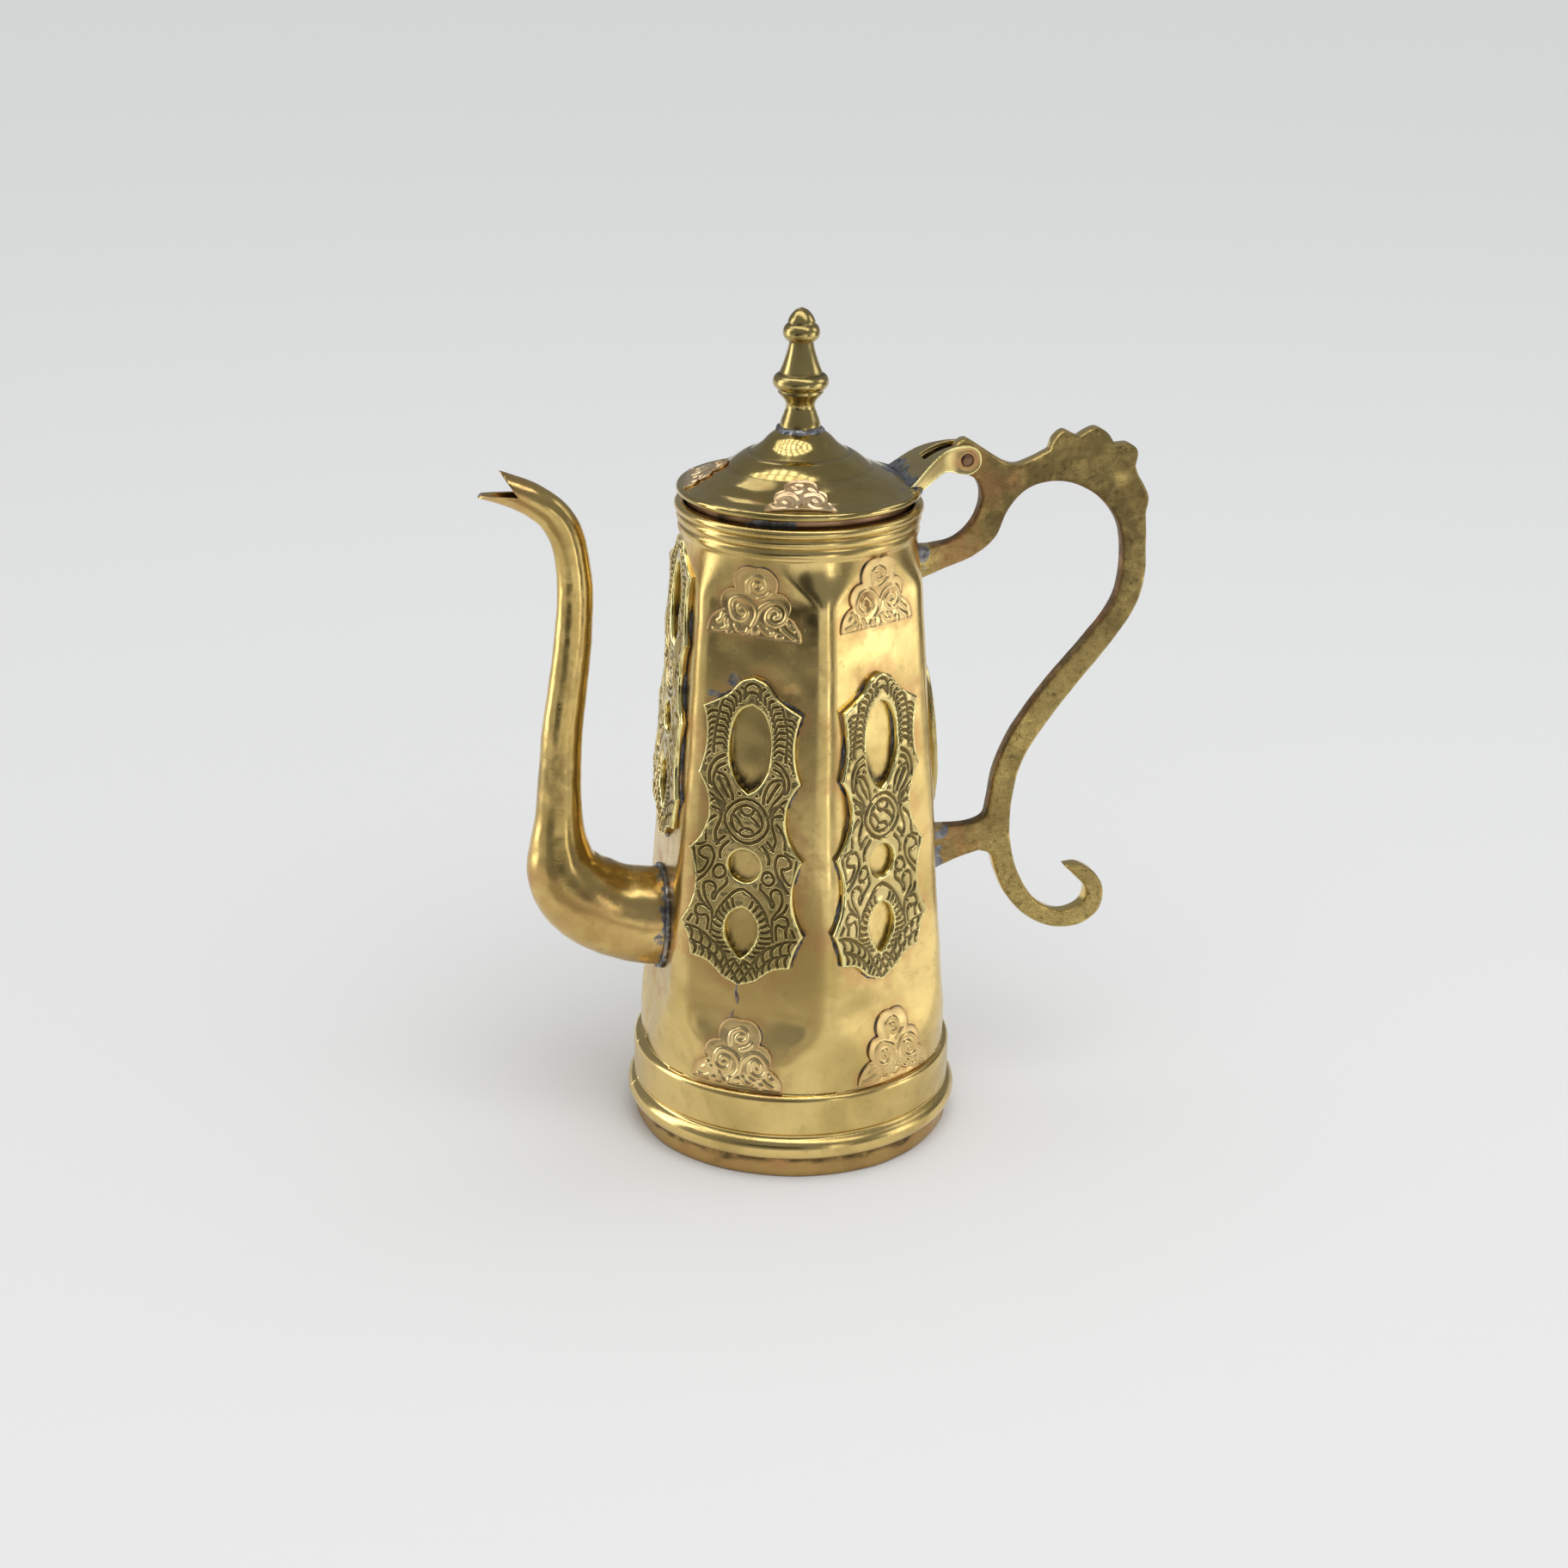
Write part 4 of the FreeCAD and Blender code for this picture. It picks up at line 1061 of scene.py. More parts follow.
def handle_mesh():
    outline = eased(path(HANDLE_START, HANDLE_STEPS, 0.9)[:-1], 0.8)
    angle = np.arange(40) * TAU / 40
    bore = np.stack([PIVOT[0] + 2.03 * np.cos(angle), PIVOT[1] + 2.03 * np.sin(angle)], axis=1)

    def half(points, edge):
        x, z = points[:, 0], points[:, 1]
        near, far = np.where(z < 140, 41.5, 34.0), np.where(z < 140, 53.0, 47.0)
        flare = np.clip((far - x) / (far - near), 0.0, 1.0)
        thick = HANDLE_T / 2 + flare * (4.8 - HANDLE_T / 2)
        calm = np.clip((np.hypot(x - PIVOT[0], z - PIVOT[1]) - 5.0) / 6.0, 0.0, 1.0)
        uneven = wave(points, 15.0, 0.10, 51) + wave(points, 5.0, 0.03, 52)
        return thick - 0.06 + calm * uneven, np.zeros(len(points))

    points, faces, _, _ = plate([outline, bore], 1.3, 0.95, half, two_faced=True)
    return trimmed(points[:, (0, 2, 1)], faces, (flat_apothem(130.0), 0.0, 130.0), tuple(facet_axes(0)[2]))


points, faces = handle_mesh()
outward = points[:, 0] - np.where(points[:, 2] < 140, 42.0, 36.0)
stub = (points[:, 2] > 60) & (points[:, 2] < 200)
reach = np.where(points[:, 2] < 140, 4.0, 1.2)
root = (1.0 - smoothstep((outward + wave(points, 6.0, 1.2, 53) - reach) / (0.6 * reach + 2.0))) * stub
flared = np.clip((np.where(points[:, 2] < 140, 53.0, 47.0) - points[:, 0]) / 12.0, 0.0, 1.0) * stub
upright = points[:, (0, 2)]
hollow = np.minimum(distance_to(upright, spline(HANDLE_LOOP)), distance_to(upright, spline(HANDLE_EYE)))
hollow = 1.0 - smoothstep((hollow - 0.5) / 0.4)
# Rubbed wear and a painted highlight along the plate's side walls, left out at the roots and the openings.
wear_and_highlight = smoothstep((2.56 + 2.1 * flared - np.abs(points[:, 1])) / 0.35) * (1.0 - root)
crest = smoothstep((points[:, 2] - 120.0) / 60.0) * smoothstep((points[:, 0] - 52.0) / 14.0)
# The dark mark makes the upper outer loop darker and paints shade, with red tint, on the inner walls of the
# openings.
add_piece("handle_cast", points, faces, "handle", "cast_brass", CAST_BRASS, {
    "wear_and_highlight": wear_and_highlight * (1.0 - hollow), "soot_and_shade": np.maximum(0.55 * crest, 0.6 * hollow * wear_and_highlight),
    "solder": np.clip(root, 0, 1),
    "tint": np.clip(0.6 * blob(points, (58.0, 0.0, 214.0), 14.0)
                    + 0.5 * blob(points, (48.0, 0.0, 90.0), 14.0)
                    + 0.5 * blob(points, (46.0, 0.0, 188.0), 14.0) + hollow * wear_and_highlight, 0, 1)})


# ---- hinge and solder --------------------------------------------------------------------
points, faces = softened("hinge_strap", 0.24, 3)
STRAP_EDGE = np.concatenate([
    spline([(32.0, 213.3), (37.4, 217.8), (41.0, 220.2), (46.0, 222.2), (51.8, 222.6)], 0.4),
    arc((51.8, 222.6), (56.4, 218.0), (52.0, 213.4)),
    spline([(52.0, 213.4), (48.4, 214.1), (45.0, 214.9), (40.6, 213.6), (36.0, 211.2)], 0.4)])
ear_face = np.interp(points[:, 0], [26.0, 34.0, 40.5, 46.5, 50.0], [15.9, 13.0, 9.1, 5.35, 4.45])
on_face = smoothstep((np.abs(points[:, 1]) - ear_face + 0.55) / 0.3)
from_edge = distance_to(points[:, (0, 2)], STRAP_EDGE)
from_rivet = np.hypot(points[:, 0] - PIVOT[0], points[:, 2] - PIVOT[1])
lip = 0.30 * (1.0 - smoothstep(from_edge / 0.9)) - 0.16 * smoothstep((from_edge - 0.9) / 0.8) \
    * smoothstep((from_rivet - 2.6) / 0.8)
points[:, 1] += np.sign(points[:, 1]) * lip * on_face
# Painted shade on the strap's hollow underside, away from its edges.
under = smoothstep((ear_face - np.abs(points[:, 1]) - 0.8) / 0.3) * smoothstep((from_edge - 0.9) / 0.4)
# Rubbed wear and a painted highlight along the ear's raised edge.
add_piece("hinge_bracket", points, faces, "hinge_strap", "lid_brass", STRAP_BRASS, {
    "soot_and_shade": 1.2 * under, "wear_and_highlight": on_face * (1.0 - smoothstep((from_edge - 0.2) / 0.8)),
    "solder": np.clip(1.0 - smoothstep((points[:, 0] - 33.0 + wave(points, 6.0, 1.2, 61)) / 3.0), 0, 1),
    "tint": blob(points, (51.8, 0.0, 218.0), (6.0, 9.0, 6.0))})

half = 5.0
points, faces = turned(-half, [
    [(1.2, -4.95), (1.9, -4.5)], (1.93, -4.1), (1.93, 4.1), (1.9, 4.5), [(1.2, 4.95), (0.001, half)]],
    0.2, 48)
points[:, 2] *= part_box("hinge_rivet")[1].y / MM / half
points = np.stack([points[:, 1] + PIVOT[0], points[:, 2], points[:, 0] + PIVOT[1]], axis=1)
add_piece("hinge_pin", points, faces, "hinge_rivet", "red_brass", RED_BRASS, {
    "soot_and_shade": np.clip(np.hypot(points[:, 0] - PIVOT[0], points[:, 2] - PIVOT[1]) - 1.0, 0, 1),
    "solder": np.zeros(len(points))})

ring = resampled([(6.2, 1.35), (6.7, 1.1), (7.25, 0.35), (7.4, -0.15), (6.2, -0.15), (6.2, 1.35)], 0.2)[:-1]
points, faces = lathe(ring[::-1] + [0.0, LID_TOP_Z], 128)
lumps = wave(points, 4.0, 0.12, 66) + wave(points, 1.6, 0.07, 67)
push_out(points, lumps)
points[:, 2] += 0.8 * lumps * (points[:, 2] > LID_TOP_Z + 0.2)
add_piece("joint_finial_solder", points, faces, "finial_solder", "solder", SOLDER)

for node, voxel in (("spout_solder", 0.35), ("handle_solder_lower", 0.3), ("handle_solder_upper", 0.3)):
    points, faces = softened(node, voxel, 6, rough=0.10, seed=64)
    add_piece("joint_" + node, points, faces, node, "solder", SOLDER)


# ---- ornaments ---------------------------------------------------------------------------
def wobble(points, length, amount, seed):
    """Sideways shifts that make drawn lines look cut by hand."""
    return np.stack([wave(points, length, amount, seed + k) for k in (0, 1)], axis=1)


def mirrored(lines):
    """The lines and their mirror images across the upright axis."""
    return list(lines) + [[(-x, y) for x, y in line] for line in lines]


def circle(x, y, radius):
    turn = np.linspace(0.0, TAU, 20)
    return np.stack([x + radius * np.cos(turn), y + radius * np.sin(turn)], axis=1)


def rungs(inner, outer, count, bow, first=0.06, last=0.94):
    """Short bowed strokes joining two curves, like the teeth of a scallop border."""
    a, b = spline(inner, 0.2), spline(outer, 0.2)
    strokes = []
    for share in np.linspace(first, last, count):
        p, q = a[int(share * (len(a) - 1))], b[int(share * (len(b) - 1))]
        across = np.array([q[1] - p[1], p[0] - q[0]])
        middle = (p + q) / 2 + across * bow
        strokes.append([tuple(p), tuple(middle), tuple(q)])
    return strokes


def carve(points, lines, half_width):
    """How deep each point lies in a groove along any of the lines: 1 on it, 0 clear of it."""
    nearest = np.full(len(points), 9.0)
    for line in lines:
        curve = spline(line, 0.3) if len(line) < 18 else np.asarray(line)
        low, high = curve.min(axis=0) - 1.6, curve.max(axis=0) + 1.6
        close = np.flatnonzero(((points > low) & (points < high)).all(axis=1))
        if len(close):
            nearest[close] = np.minimum(nearest[close], distance_to(points[close], curve))
    return 1.0 - smoothstep(nearest / half_width)


PANEL_GROOVES = [
    # border behind the scallops, down each side of the oval
    [(6.2, 45.2), (8.6, 42.2), (10.4, 37.5), (11.4, 32.0), (11.6, 27.5), (11.3, 24.6)],
    [(7.9, 24.2), (10.2, 22.8), (12.0, 20.4), (12.6, 17.6), (12.0, 14.6)],
    [(7.6, 21.9), (9.6, 20.9), (10.8, 18.8), (11.2, 16.0), (11.4, 14.2)],
    # three leaves over the boss
    [(10.2, 18.6), (8.0, 18.0), (6.2, 15.6), (5.2, 12.8), (5.2, 10.6)],
    [(9.6, 17.3), (8.2, 14.8), (7.0, 12.6), (6.4, 11.2)],
    [(11.2, 15.9), (10.2, 13.4), (8.4, 10.9), (7.4, 8.6)],
    [(14.2, 13.2), (11.6, 11.6), (9.4, 9.2), (8.2, 7.0), (7.9, 5.4)],
    # curls beside the boss, and brackets under it
    [(7.3, 6.6), (8.2, 9.0), (9.8, 10.2), (11.6, 9.6), (12.4, 7.6)],
    [(12.4, 7.6), (10.4, 7.4), (8.6, 6.6), (8.0, 4.4), (8.9, 1.6), (9.7, -0.8), (9.3, -2.9), (8.2, -4.2)],
    [(9.6, 4.8), (11.6, 2.8), (12.8, 0.2), (13.0, -3.2)],
    [(13.0, -4.2), (15.0, -4.9), (16.6, -5.0)],
    [(5.4, -2.9), (7.0, -5.0), (7.7, -7.4), (7.6, -8.9)],
    [(6.8, -1.6), (8.4, -3.4), (8.9, -4.6)],
    # scrolls beside the round hole and the teardrop
    [(14.9, -8.4), (14.9, -6.7), (13.0, -5.3), (10.8, -5.7), (9.7, -8.0), (10.3, -10.8), (12.4, -13.9),
     (14.9, -16.9)],
    [(14.9, -8.4), (13.0, -9.4), (11.9, -9.5), (12.3, -11.4), (13.8, -13.4), (15.2, -14.3), (16.1, -10.6),
     (16.8, -5.9)],
    [(5.4, -15.0), (5.4, -16.6), (6.6, -18.0), (8.0, -19.4), (9.2, -21.8)],
    [(9.4, -22.4), (9.9, -20.8), (8.8, -19.0), (9.2, -17.0), (10.9, -16.2), (12.5, -17.2), (12.8, -19.8),
     (11.8, -22.6), (10.2, -25.2), (9.7, -28.2), (9.8, -33.4)],
    [(14.6, -20.4), (13.7, -22.8), (12.0, -24.6), (10.6, -26.2)],
    [(0.0, -17.8), (2.6, -19.0), (5.4, -21.8), (7.6, -25.2), (8.9, -28.6)],
    [(14.6, -31.2), (14.5, -29.0), (15.3, -26.8), (14.4, -24.9), (12.2, -24.9), (11.0, -25.6)],
    [(14.6, -27.9), (13.2, -28.2), (11.9, -27.8), (11.0, -29.2), (11.0, -32.4)],
    [(16.4, -28.4), (16.9, -29.5), (17.4, -30.6)],
    # the two bands of the foot, and the diamond between them
    [(18.6, -32.0), (15.2, -32.4), (11.6, -33.9), (8.0, -36.6), (4.6, -40.6), (4.0, -42.3)],
    [(16.6, -36.6), (13.4, -37.6), (10.0, -39.4), (7.6, -41.4), (5.6, -43.9)],
    [(4.2, -42.2), (5.4, -44.4), (5.9, -46.6)],
    [(0.0, -40.6), (2.2, -41.2), (4.2, -42.2)],
    [(-4.0, -42.6), (-1.9, -45.9), (0.2, -49.2)],
    [(-1.6, -41.2), (0.8, -45.0), (3.2, -48.7)],
    [(1.0, -41.1), (3.1, -44.3), (5.2, -47.4)],
]
BOSS_GROOVES = [
    circle(0.0, 4.3, 7.0), circle(0.0, 4.3, 4.9),
    [(-3.9, 5.6), (-2.4, 4.2), (-1.1, 2.1)], [(1.1, 5.9), (2.6, 4.6), (3.9, 2.7)],
    [(-2.4, 8.4), (-1.6, 6.8), (0.0, 6.1), (1.6, 6.8), (2.4, 8.4)],
    [(-2.4, 0.0), (-1.6, 1.5), (0.0, 2.2), (1.6, 1.5), (2.4, 0.0)],
    [(-2.6, 43.6), (-2.2, 46.6), (0.0, 47.9), (2.2, 46.6), (2.6, 43.6)],
    [(-2.0, 43.4), (-1.2, 44.6), (0.0, 45.0), (1.2, 44.6), (2.0, 43.4)],
]
SCALLOPS = rungs([(1.6, 43.4), (4.6, 40.6), (6.6, 36.4), (7.5, 31.0), (7.6, 27.0), (7.4, 24.6)],
                 [(2.6, 47.0), (6.0, 44.6), (8.6, 40.8), (10.2, 36.0), (11.1, 30.6), (11.2, 25.4)], 11, -0.30)
LADDER = rungs([(10.8, 38.6), (12.0, 33.0), (12.4, 27.5), (12.3, 23.6)],
               [(14.6, 37.2), (13.8, 33.0), (13.2, 28.0), (13.6, 23.0), (14.4, 20.2)], 8, -0.2)
TEAR_RIBS = rungs([(0.9, -23.4), (3.6, -25.4), (5.8, -28.2), (6.5, -31.0), (6.0, -34.2), (4.2, -37.2),
                   (2.0, -39.8)],
                  [(2.2, -20.4), (5.4, -22.9), (7.8, -26.2), (9.2, -29.8), (9.2, -33.6), (6.8, -36.8),
                   (3.9, -40.0)], 11, 0.10)
BAND_RUNGS = rungs([(17.4, -32.2), (15.2, -32.4), (11.6, -33.9), (8.0, -36.6), (5.4, -39.6)],
                   [(16.6, -36.6), (13.4, -37.6), (10.0, -39.4), (7.6, -41.4), (5.8, -43.4)], 5, 0.18)
FOOT_RUNGS = rungs([(16.0, -36.8), (13.4, -37.6), (10.0, -39.4), (7.6, -41.4), (5.8, -43.4)],
                   [(15.8, -41.3), (13.0, -42.0), (10.2, -43.6), (8.2, -45.4), (5.6, -47.0)], 5, 0.18)


def panel_relief(seed):
    """Panel in its own plane: flat polished face, cut lines darkened with painted shade, and cast unevenness.
    """
    loops = panel_loops()
    lines = mirrored(PANEL_GROOVES + SCALLOPS + LADDER + TEAR_RIBS + BAND_RUNGS + FOOT_RUNGS) + BOSS_GROOVES
    berries = [circle(side * 7.7, -13.2, 2.0) for side in (-1, 1)]
    dots = mirrored([[(7.6, 19.6), (2.8, 12.7)]])

    def top(points, edge):
        wander = points + wobble(points, 12.0, 0.16, seed)
        cut = carve(wander, lines + berries, 0.78)
        away = [np.linalg.norm(points - dot, axis=1) for pair in dots for dot in pair]
        pits = 1.0 - smoothstep(np.min(away, axis=0) / 0.9)
        cut = np.maximum(cut, pits) * smoothstep((edge - 0.25) / 0.7)
        swell = wave(points, 11.0, 0.08, seed + 2) + wave(points, 3.5, 0.045, seed + 3)
        return PANEL_T - 0.12 + swell - 0.85 * cut, cut

    points, faces, edge, cut = plate(loops, 0.25, 0.80, top)
    # Painted shade in the cut lines, and rubbed wear with a painted highlight on the rounded rim.
    deep = smoothstep((cut - 0.22) / 0.55)
    rim = (1.0 - smoothstep((edge - 0.35) / 0.65)) * (points[:, 2] > 0.0)
    return points, faces, {"deep": deep, "wear_and_highlight": rim * (1.0 - deep)}


points, faces, marks = panel_relief(81)
for name, spot in PANELS.items():
    add_piece("cast_" + name, on_facet(points, *spot), faces, name, "panel_brass", PANEL_BRASS, marks)


BADGE_RIDGES = [
    # two big scrolls that spring from one stem
    [(-0.7, 3.4), (0.6, 5.6), (0.4, 8.6), (-2.0, 11.2), (-5.2, 11.8), (-7.6, 9.8), (-7.6, 6.8), (-5.6, 4.9),
     (-3.2, 5.6), (-2.4, 7.6), (-3.6, 9.2), (-5.2, 8.9), (-5.4, 7.5), (-4.4, 7.0)],
    [(0.6, 5.6), (1.6, 8.8), (4.4, 11.2), (7.8, 11.2), (9.8, 8.8), (9.2, 5.9), (6.6, 4.5), (4.2, 5.6),
     (3.8, 7.9), (5.4, 9.4), (7.2, 8.6), (7.2, 7.1), (6.1, 6.7)],
    # small curl in the top lobe
    [(-2.4, 13.8), (-2.6, 17.0), (-0.4, 18.9), (2.0, 17.8), (2.2, 15.6), (0.6, 14.4), (-0.8, 15.4),
     (-0.4, 16.8), (0.7, 16.6)],
    [(4.0, 14.2), (2.8, 12.9), (1.0, 12.0)],
    # leaves along the foot
    [(-12.8, 1.2), (-10.6, 1.4), (-8.4, 2.8), (-8.8, 4.6)],
    [(-11.2, 3.8), (-10.2, 4.8), (-10.0, 6.0)],
    [(-5.8, 3.2), (-4.8, 1.5), (-3.0, 1.1), (-2.2, 2.4)],
    [(12.4, 1.1), (10.2, 2.2), (8.6, 3.6)],
    [(12.0, 3.6), (10.8, 4.4), (10.4, 5.4)],
    [(2.0, 3.4), (3.2, 2.0), (5.0, 1.3), (5.8, 2.6), (4.6, 3.3)],
]
BADGE_PEARLS = [(0.2, 2.0, 1.2), (8.0, 1.3, 0.9), (-7.6, 1.2, 0.8)]


LID_BADGE_RIDGES = [
    # two wide spirals side by side, and a curl over them
    [(-0.9, 1.6), (-0.6, 4.2), (-2.6, 6.6), (-5.9, 6.7), (-8.3, 4.6), (-8.2, 2.2), (-6.4, 1.2), (-4.2, 1.7),
     (-3.6, 3.2), (-4.8, 4.3)],
    [(-0.6, 4.2), (1.2, 6.8), (4.4, 7.3), (7.0, 5.4), (7.1, 2.9), (5.5, 1.5), (3.4, 1.9), (2.9, 3.6),
     (4.0, 4.8), (5.0, 4.2)],
    [(-4.6, 7.2), (-1.6, 7.4), (0.4, 8.4), (1.3, 9.9), (0.3, 11.1), (-1.7, 11.1), (-2.6, 10.0), (-1.4, 9.2)],
    [(7.6, 4.9), (9.0, 3.6), (10.0, 1.3)],
    [(2.6, 9.4), (3.9, 8.8), (4.8, 8.0)],
]


def badge_relief(scale, seed, thick=0.78, lines=BADGE_RIDGES, pearls=BADGE_PEARLS, pen=0.95):
    """Stamped badge: scrolls and pearls pushed up out of thin sheet."""
    loop = badge_loop() * scale
    ridges = [spline(line, 0.3) * scale for line in lines]
    stroke = pen * math.sqrt(scale[0] * scale[1])

    def top(points, edge):
        wander = points + wobble(points, 9.0, 0.2, seed)
        ridge = carve(wander, ridges, stroke)
        hollow = carve(wander, ridges, 2.4 * stroke)
        for x, y, r in pearls:
            away = np.hypot(wander[:, 0] - x, wander[:, 1] - y) / (1.3 * r)
            ridge = np.maximum(ridge, np.sqrt(np.clip(1.0 - away ** 2, 0.0, 1.0)))
        border = 1.0 - smoothstep((edge - 0.15) / 0.35)
        low = hollow * (1.0 - ridge)
        rise = np.maximum(ridge, 0.85 * border)
        return thick - 0.46 + 0.44 * rise - 0.10 * low + wave(points, 7.0, 0.05, seed + 2), low

    points, faces, edge, low = plate([loop], 0.27, 0.20, top)
    points[:, 2] = np.clip(points[:, 2], 0.0, thick)
    # Painted shade in the sunken ground beside the scrolls; red heat colour round the rim.
    rim = 1.0 - smoothstep((edge - 0.2) / 1.6)
    return points, faces, {"deep": 0.5 * smoothstep((low - 0.35) / 0.65), "tint": 0.5 * rim}


for name, angle in CORNER_FACETS.items():
    for place, spots, seed in (("top_badge_", TOP_BADGES, 91), ("bottom_badge_", LOW_BADGES, 95)):
        points, faces, marks = badge_relief((1.0, 1.0), seed + 7 * abs(angle) // 60)
        points = round_facet(points, angle, *spots[name])
        add_piece("stamped_" + place + name, points, faces, place + name, "badge_brass", BADGE_BRASS, marks)

for name, angle in LID_BADGES.items():
    scale = np.divide(LID_BADGE_SIZE, BADGE_SIZE)
    drawn = [np.array(line) * np.divide(BADGE_SIZE, LID_BADGE_SIZE) for line in LID_BADGE_RIDGES]
    points, faces, marks = badge_relief(scale, 120 + abs(angle), 0.80, drawn, (), 1.25)
    marks["tint"] *= 0.4
    # Stronger painted shade in the lid badges' hollows.
    marks["deep"] *= 1.3
    out, side = 34.6 - points[:, 1], points[:, 0]
    height = lid_height(np.hypot(out, side)) + points[:, 2]
    points = np.stack([*leaned(out, side, angle), height], axis=1)
    add_piece("stamped_" + name, points, faces, name, "badge_brass", ROSY_BRASS, marks)


def medallion_relief():
    """Oval plate with a beaded border round a palmette of scrolls."""
    wide, tall = 18.9, 27.9
    turn = np.linspace(0.0, TAU, 260, endpoint=False)
    loop = np.stack([wide * np.cos(turn), tall * np.sin(turn)], axis=1)
    field = mirrored([
        [(2.0, 9.0), (3.4, 13.2), (7.4, 14.0), (10.4, 11.0), (9.8, 7.0), (6.8, 5.6), (4.9, 8.0), (6.4, 10.2)],
        [(2.0, -8.0), (3.6, -12.2), (7.6, -13.0), (10.4, -10.0), (9.6, -6.2), (6.8, -5.0), (5.0, -7.2),
         (6.6, -9.2)],
        [(0.6, 22.0), (3.6, 18.0), (2.4, 14.0), (0.6, 11.0)],
        [(0.6, -21.0), (3.6, -17.0), (2.4, -13.0), (0.6, -10.0)],
        [(1.2, 8.0), (3.0, 4.0), (2.2, 0.0), (3.0, -4.0), (1.2, -8.0)],
        [(11.6, 4.0), (9.6, 1.6), (6.0, 0.4)],
        [(11.8, -2.0), (9.0, -2.4), (6.6, -1.6)]])

    def top(points, edge):
        angle = np.arctan2(points[:, 1] / tall, points[:, 0] / wide)
        beads = (1.0 - smoothstep(np.abs(edge - 2.2) / 1.3)) * (0.5 + 0.5 * np.cos(angle * 52))
        lines = 1.0 - smoothstep(np.minimum(np.abs(edge - 0.9), np.abs(edge - 3.8)) / 0.45)
        cut = np.maximum(carve(points, field, 0.8), lines)
        # Painted shade in the cut lines and between the beads of the border.
        dark = np.maximum(cut, (1.0 - smoothstep(np.abs(edge - 2.3) / 1.5)) * 0.7 - beads)
        return 2.3 + 0.2 * beads - 0.7 * cut + wave(points, 10.0, 0.05, 131), dark

    points, faces, _, dark = plate([loop], 0.34, 0.5, top)
    return points, faces, {"deep": smoothstep((dark - 0.15) / 0.7)}


points, faces, marks = medallion_relief()
points = on_facet(points, 0, 131.0)
add_piece("medallion", points, faces, "handle_medallion", "panel_brass", PANEL_BRASS, marks)


def bead_run(line, thick, closed=True):
    """A thin round bead along a line on a facet; thick(points) is its radius."""
    line = np.asarray(line, float)
    along = np.roll(line, -1, axis=0) - np.roll(line, 1, axis=0) if closed else np.gradient(line, axis=0)
    normal = np.stack([-along[:, 1], along[:, 0]], axis=1)
    normal /= np.maximum(np.linalg.norm(normal, axis=1, keepdims=True), 1e-9)
    radius = thick(line)
    turn = np.arange(8) * TAU / 8
    flat = line[:, None, :] + normal[:, None, :] * (radius[:, None] * np.cos(turn))[..., None]
    height = radius[:, None] * np.sin(turn)
    points = np.concatenate([flat, height[..., None]], axis=2).reshape(-1, 3)
    faces = grid_faces(len(line), 8, wrap_rows=closed)
    if not closed:
        faces += [tuple(range(8))[::-1], tuple(range(len(points) - 8, len(points)))]
    return points, faces


def joined(parts):
    """Several point and face lists as one."""
    points, faces, start = [], [], 0
    for some, their in parts:
        points.append(some)
        faces += [tuple(k + start for k in face) for face in their]
        start += len(some)
    return np.concatenate(points), faces


# Thin solder round the ornaments, which the CAD leaves out
for k, (name, spot) in enumerate(PANELS.items()):
    def width(line, seed=140 + k):
        return np.clip(0.24 + wave(line, 16.0, 0.34, seed) + wave(line, 2.4, 0.08, seed + 1), 0.04, 0.9)

    runs = [bead_run(loop, width) for loop in panel_loops(0.5)[:1]]
    runs += [bead_run(loop, lambda line: 0.5 * width(line)) for loop in panel_loops(0.5)[1:]]
    if name == "panel_front_left":
        drip = spline([(-0.6, -48.6), (-1.2, -52.0), (-0.6, -55.5), (-1.8, -59.0), (-2.6, -62.4)], 0.5)
        runs.append(bead_run(drip, lambda line: 0.62 + wave(line, 5.0, 0.22, 150), closed=False))
    placed = [(on_facet(some, *spot), their) for some, their in runs]
    new_piece("solder_line_" + name, *joined(placed), "pot", "solder", DARK_SOLDER)

for name, angle in CORNER_FACETS.items():
    runs = []
    for spot, seed in ((TOP_BADGES[name], 160), (LOW_BADGES[name], 161)):
        points, faces = bead_run(badge_loop(0.5), lambda line: np.clip(
            0.13 + wave(line, 9.0, 0.12, seed + abs(angle)), 0.03, 0.4))
        runs.append((round_facet(points, angle, *spot), faces))
    new_piece("solder_line_badges_" + name, *joined(runs), "pot", "solder", DARK_SOLDER)


# ---- stage, lights and camera ------------------------------------------------------------
def plain(name, colour, rough):
    material = bpy.data.materials.new(name)
    material.use_nodes = True
    shader = material.node_tree.nodes["Principled BSDF"]
    shader.inputs["Base Color"].default_value = (*colour, 1.0)
    shader.inputs["Roughness"].default_value = rough
    shader.inputs["Specular IOR Level"].default_value = 0.0
    return material


FLOOR_R = 14.0
turn = np.linspace(0, TAU, 64, endpoint=False)
disc = np.stack([FLOOR_R * np.cos(turn), FLOOR_R * np.sin(turn), 0.0 * turn], axis=1)
new_object("floor", disc, [tuple(range(64))], plain("floor_pale", (0.80, 0.80, 0.79), 0.55))


def floor_light(name, kind, place, power, spread):
    """Light for the floor and the matt stage; polished brass sees the panels below instead."""
    light = bpy.data.lights.new(name, kind)
    light.energy = power
    if kind == "SUN":
        light.angle = spread
    else:
        light.shape, light.size = "DISK", spread
    lamp = bpy.data.objects.new(name, light)
    lamp.location = place
    lamp.rotation_euler = Vector(place).to_track_quat("Z", "Y").to_euler()
    lamp.visible_glossy = False
    lamp.visible_camera = False
    bpy.context.scene.collection.objects.link(lamp)


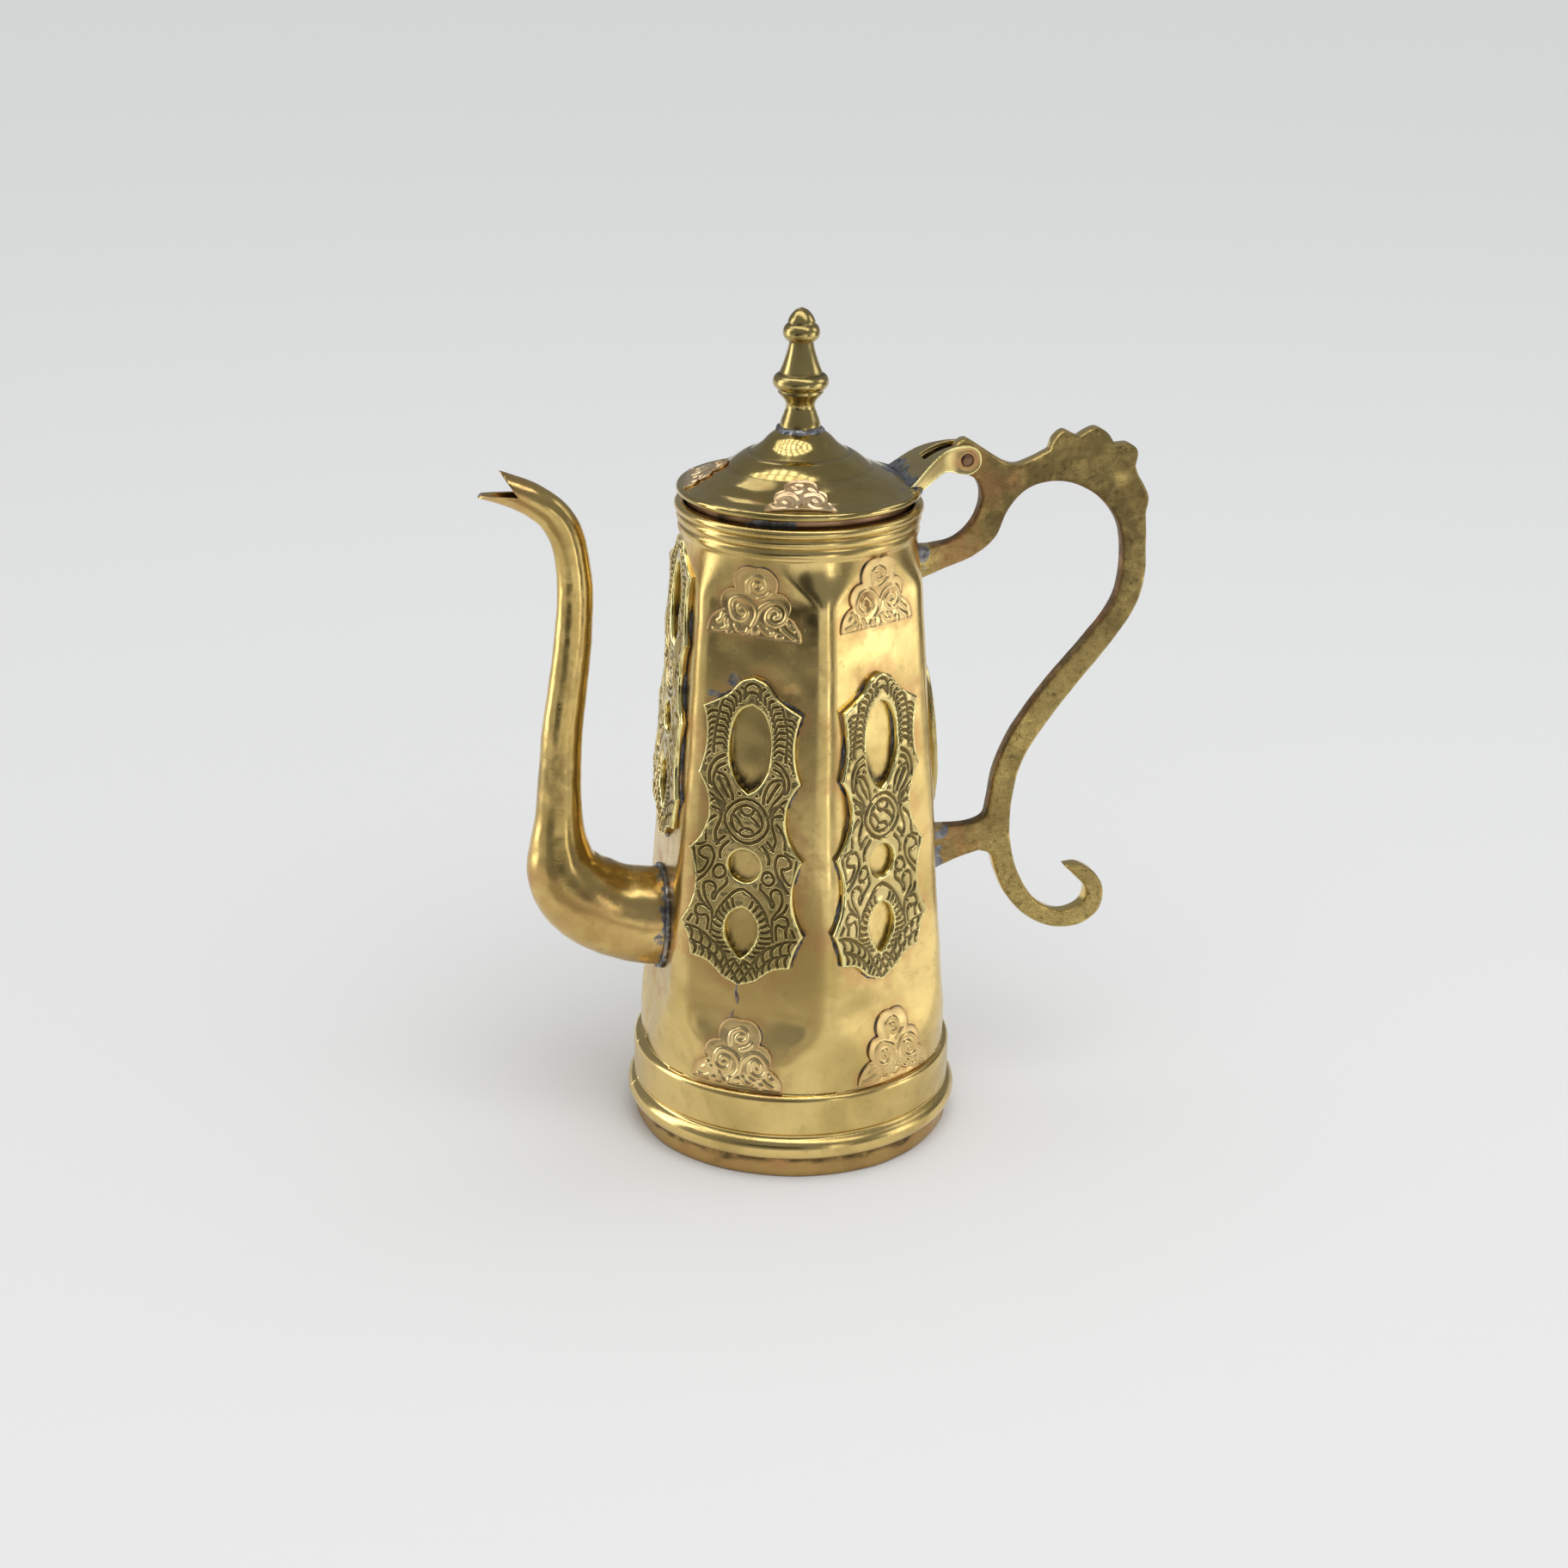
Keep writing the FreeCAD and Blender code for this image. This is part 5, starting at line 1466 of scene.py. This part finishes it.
def glowing(name, colour, strength):
    material = bpy.data.materials.new(name)
    material.use_nodes = True
    tree = material.node_tree
    tree.nodes.clear()
    glow = tree.nodes.new("ShaderNodeEmission")
    glow.inputs["Color"].default_value = (*colour, 1.0)
    glow.inputs["Strength"].default_value = strength
    out = tree.nodes.new("ShaderNodeOutputMaterial")
    tree.links.new(glow.outputs["Emission"], out.inputs["Surface"])
    return material


PANE = (0.14, 0.86)


def reflected(name, place, size, strength, colour=(1.0, 1.0, 1.0), panes=(1, 1), lying=False):
    """A studio panel that only reflections see, in one piece or in window panes; strength 0
    makes a black flag.  It stands facing the pot, or lies on the floor."""
    place = np.array(place, float)
    target = np.array((0.0, 0.0, min(place[2], 0.8)))
    facing = (target - place) / np.linalg.norm(target - place)
    right = np.cross(facing, (0.0, 0.0, 1.0))
    right /= np.linalg.norm(right)
    rise = np.cross((0.0, 0.0, 1.0), right) if lying else np.cross(right, facing)
    columns, rows = ([[(k + e) / count - 0.5 for e in ((0.0, 1.0) if count == 1 else PANE)]
                      for k in range(count)] for count in panes)
    points = [place + right * x * size[0] + rise * y * size[1] for y0, y1 in rows for x0, x1 in columns
              for x, y in ((x0, y0), (x1, y0), (x1, y1), (x0, y1))]
    faces = [tuple(range(start, start + 4)) for start in range(0, len(points), 4)]
    card = new_object(name, points, faces, glowing(name, colour, strength))
    card.visible_camera = card.visible_diffuse = card.visible_shadow = False
    card.visible_transmission = card.visible_volume_scatter = False


floor_light("daylight", "SUN", (0.15, -0.30, 1.0), 1.9, math.radians(110))
floor_light("front_fill", "AREA", (0.1, -0.9, 1.8), 9.5, 1.4)
reflected("window_left", (-0.62, 0.16, 0.30), (0.26, 0.60), 2.8, (0.97, 0.98, 1.0))
reflected("flag_front_left", (-0.25, -0.50, 0.235), (0.46, 0.17), 0.04)
reflected("floor_dark_far", (-1.24, -1.38, 0.004), (1.06, 1.50), 0.0, lying=True)
reflected("floor_dark_near", (-0.58, -0.65, 0.004), (0.48, 0.50), 0.0, lying=True)
reflected("floor_dusk_left", (-1.50, -0.50, 0.005), (0.80, 1.20), 0.28, lying=True)
reflected("floor_shade_near", (-0.17, -0.25, 0.003), (0.34, 0.24), 0.40, (1.0, 0.93, 0.82), lying=True)
reflected("floor_bright_right", (0.34, -0.13, 0.003), (0.34, 0.36), 1.15, lying=True)
reflected("window_front", (0.150, -0.47, 0.12), (0.045, 0.24), 3.0)
reflected("flag_front_right", (0.28, -0.47, 0.10), (0.19, 0.20), 0.16)
reflected("window_right", (0.60, -0.27, 0.16), (0.24, 0.32), 2.2)
reflected("window_right_high", (0.62, -0.02, 0.55), (0.30, 0.34), 1.6)
reflected("flag_right", (0.66, 0.10, 0.12), (0.34, 0.24), 0.16)
reflected("ceiling_window_cone", (-0.12, -0.15, 1.25), (2.30, 0.50), 3.8, panes=(12, 3))
reflected("ceiling_window_badge", (0.13, 0.52, 1.18), (0.20, 0.15), 1.3, panes=(3, 2))
reflected("ceiling_window_back", (-0.12, 0.77, 1.13), (0.16, 0.32), 2.6, panes=(3, 4))
reflected("ceiling_window_right", (0.30, 0.50, 1.22), (0.06, 0.18), 1.2, panes=(1, 3))
reflected("ceiling_window_left", (-0.95, 0.10, 0.95), (0.5, 0.35), 3.0, panes=(4, 3))

world = bpy.data.worlds.new("room")
world.use_nodes = True
sky = world.node_tree.nodes["Background"].inputs
sky["Color"].default_value = (0.92, 0.95, 1.0, 1.0)
sky["Strength"].default_value = 0.27
bpy.context.scene.world = world

# The camera as fitted to the photograph: millimetres of lens, metres and radians
LENS = 61.82
CAMERA_PLACE = (-0.17996, -0.77950, 0.42047)
CAMERA_HEADING = math.radians(-12.754)
CAMERA_TILT = 0.3663
CAMERA_ROLL = 0.0135

camera_data = bpy.data.cameras.new("camera")
camera_data.sensor_width = 36.0
camera_data.lens = LENS
camera_data.clip_start = 0.01
camera = bpy.data.objects.new("camera", camera_data)
camera.location = CAMERA_PLACE
heading = Matrix.Rotation(CAMERA_HEADING, 4, "Z")
tilt = Matrix.Rotation(math.pi / 2 - CAMERA_TILT, 4, "X")
camera.rotation_euler = (heading @ tilt @ Matrix.Rotation(CAMERA_ROLL, 4, "Z")).to_euler()
bpy.context.scene.collection.objects.link(camera)
bpy.context.scene.camera = camera
bpy.context.scene.view_settings.view_transform = "Standard"
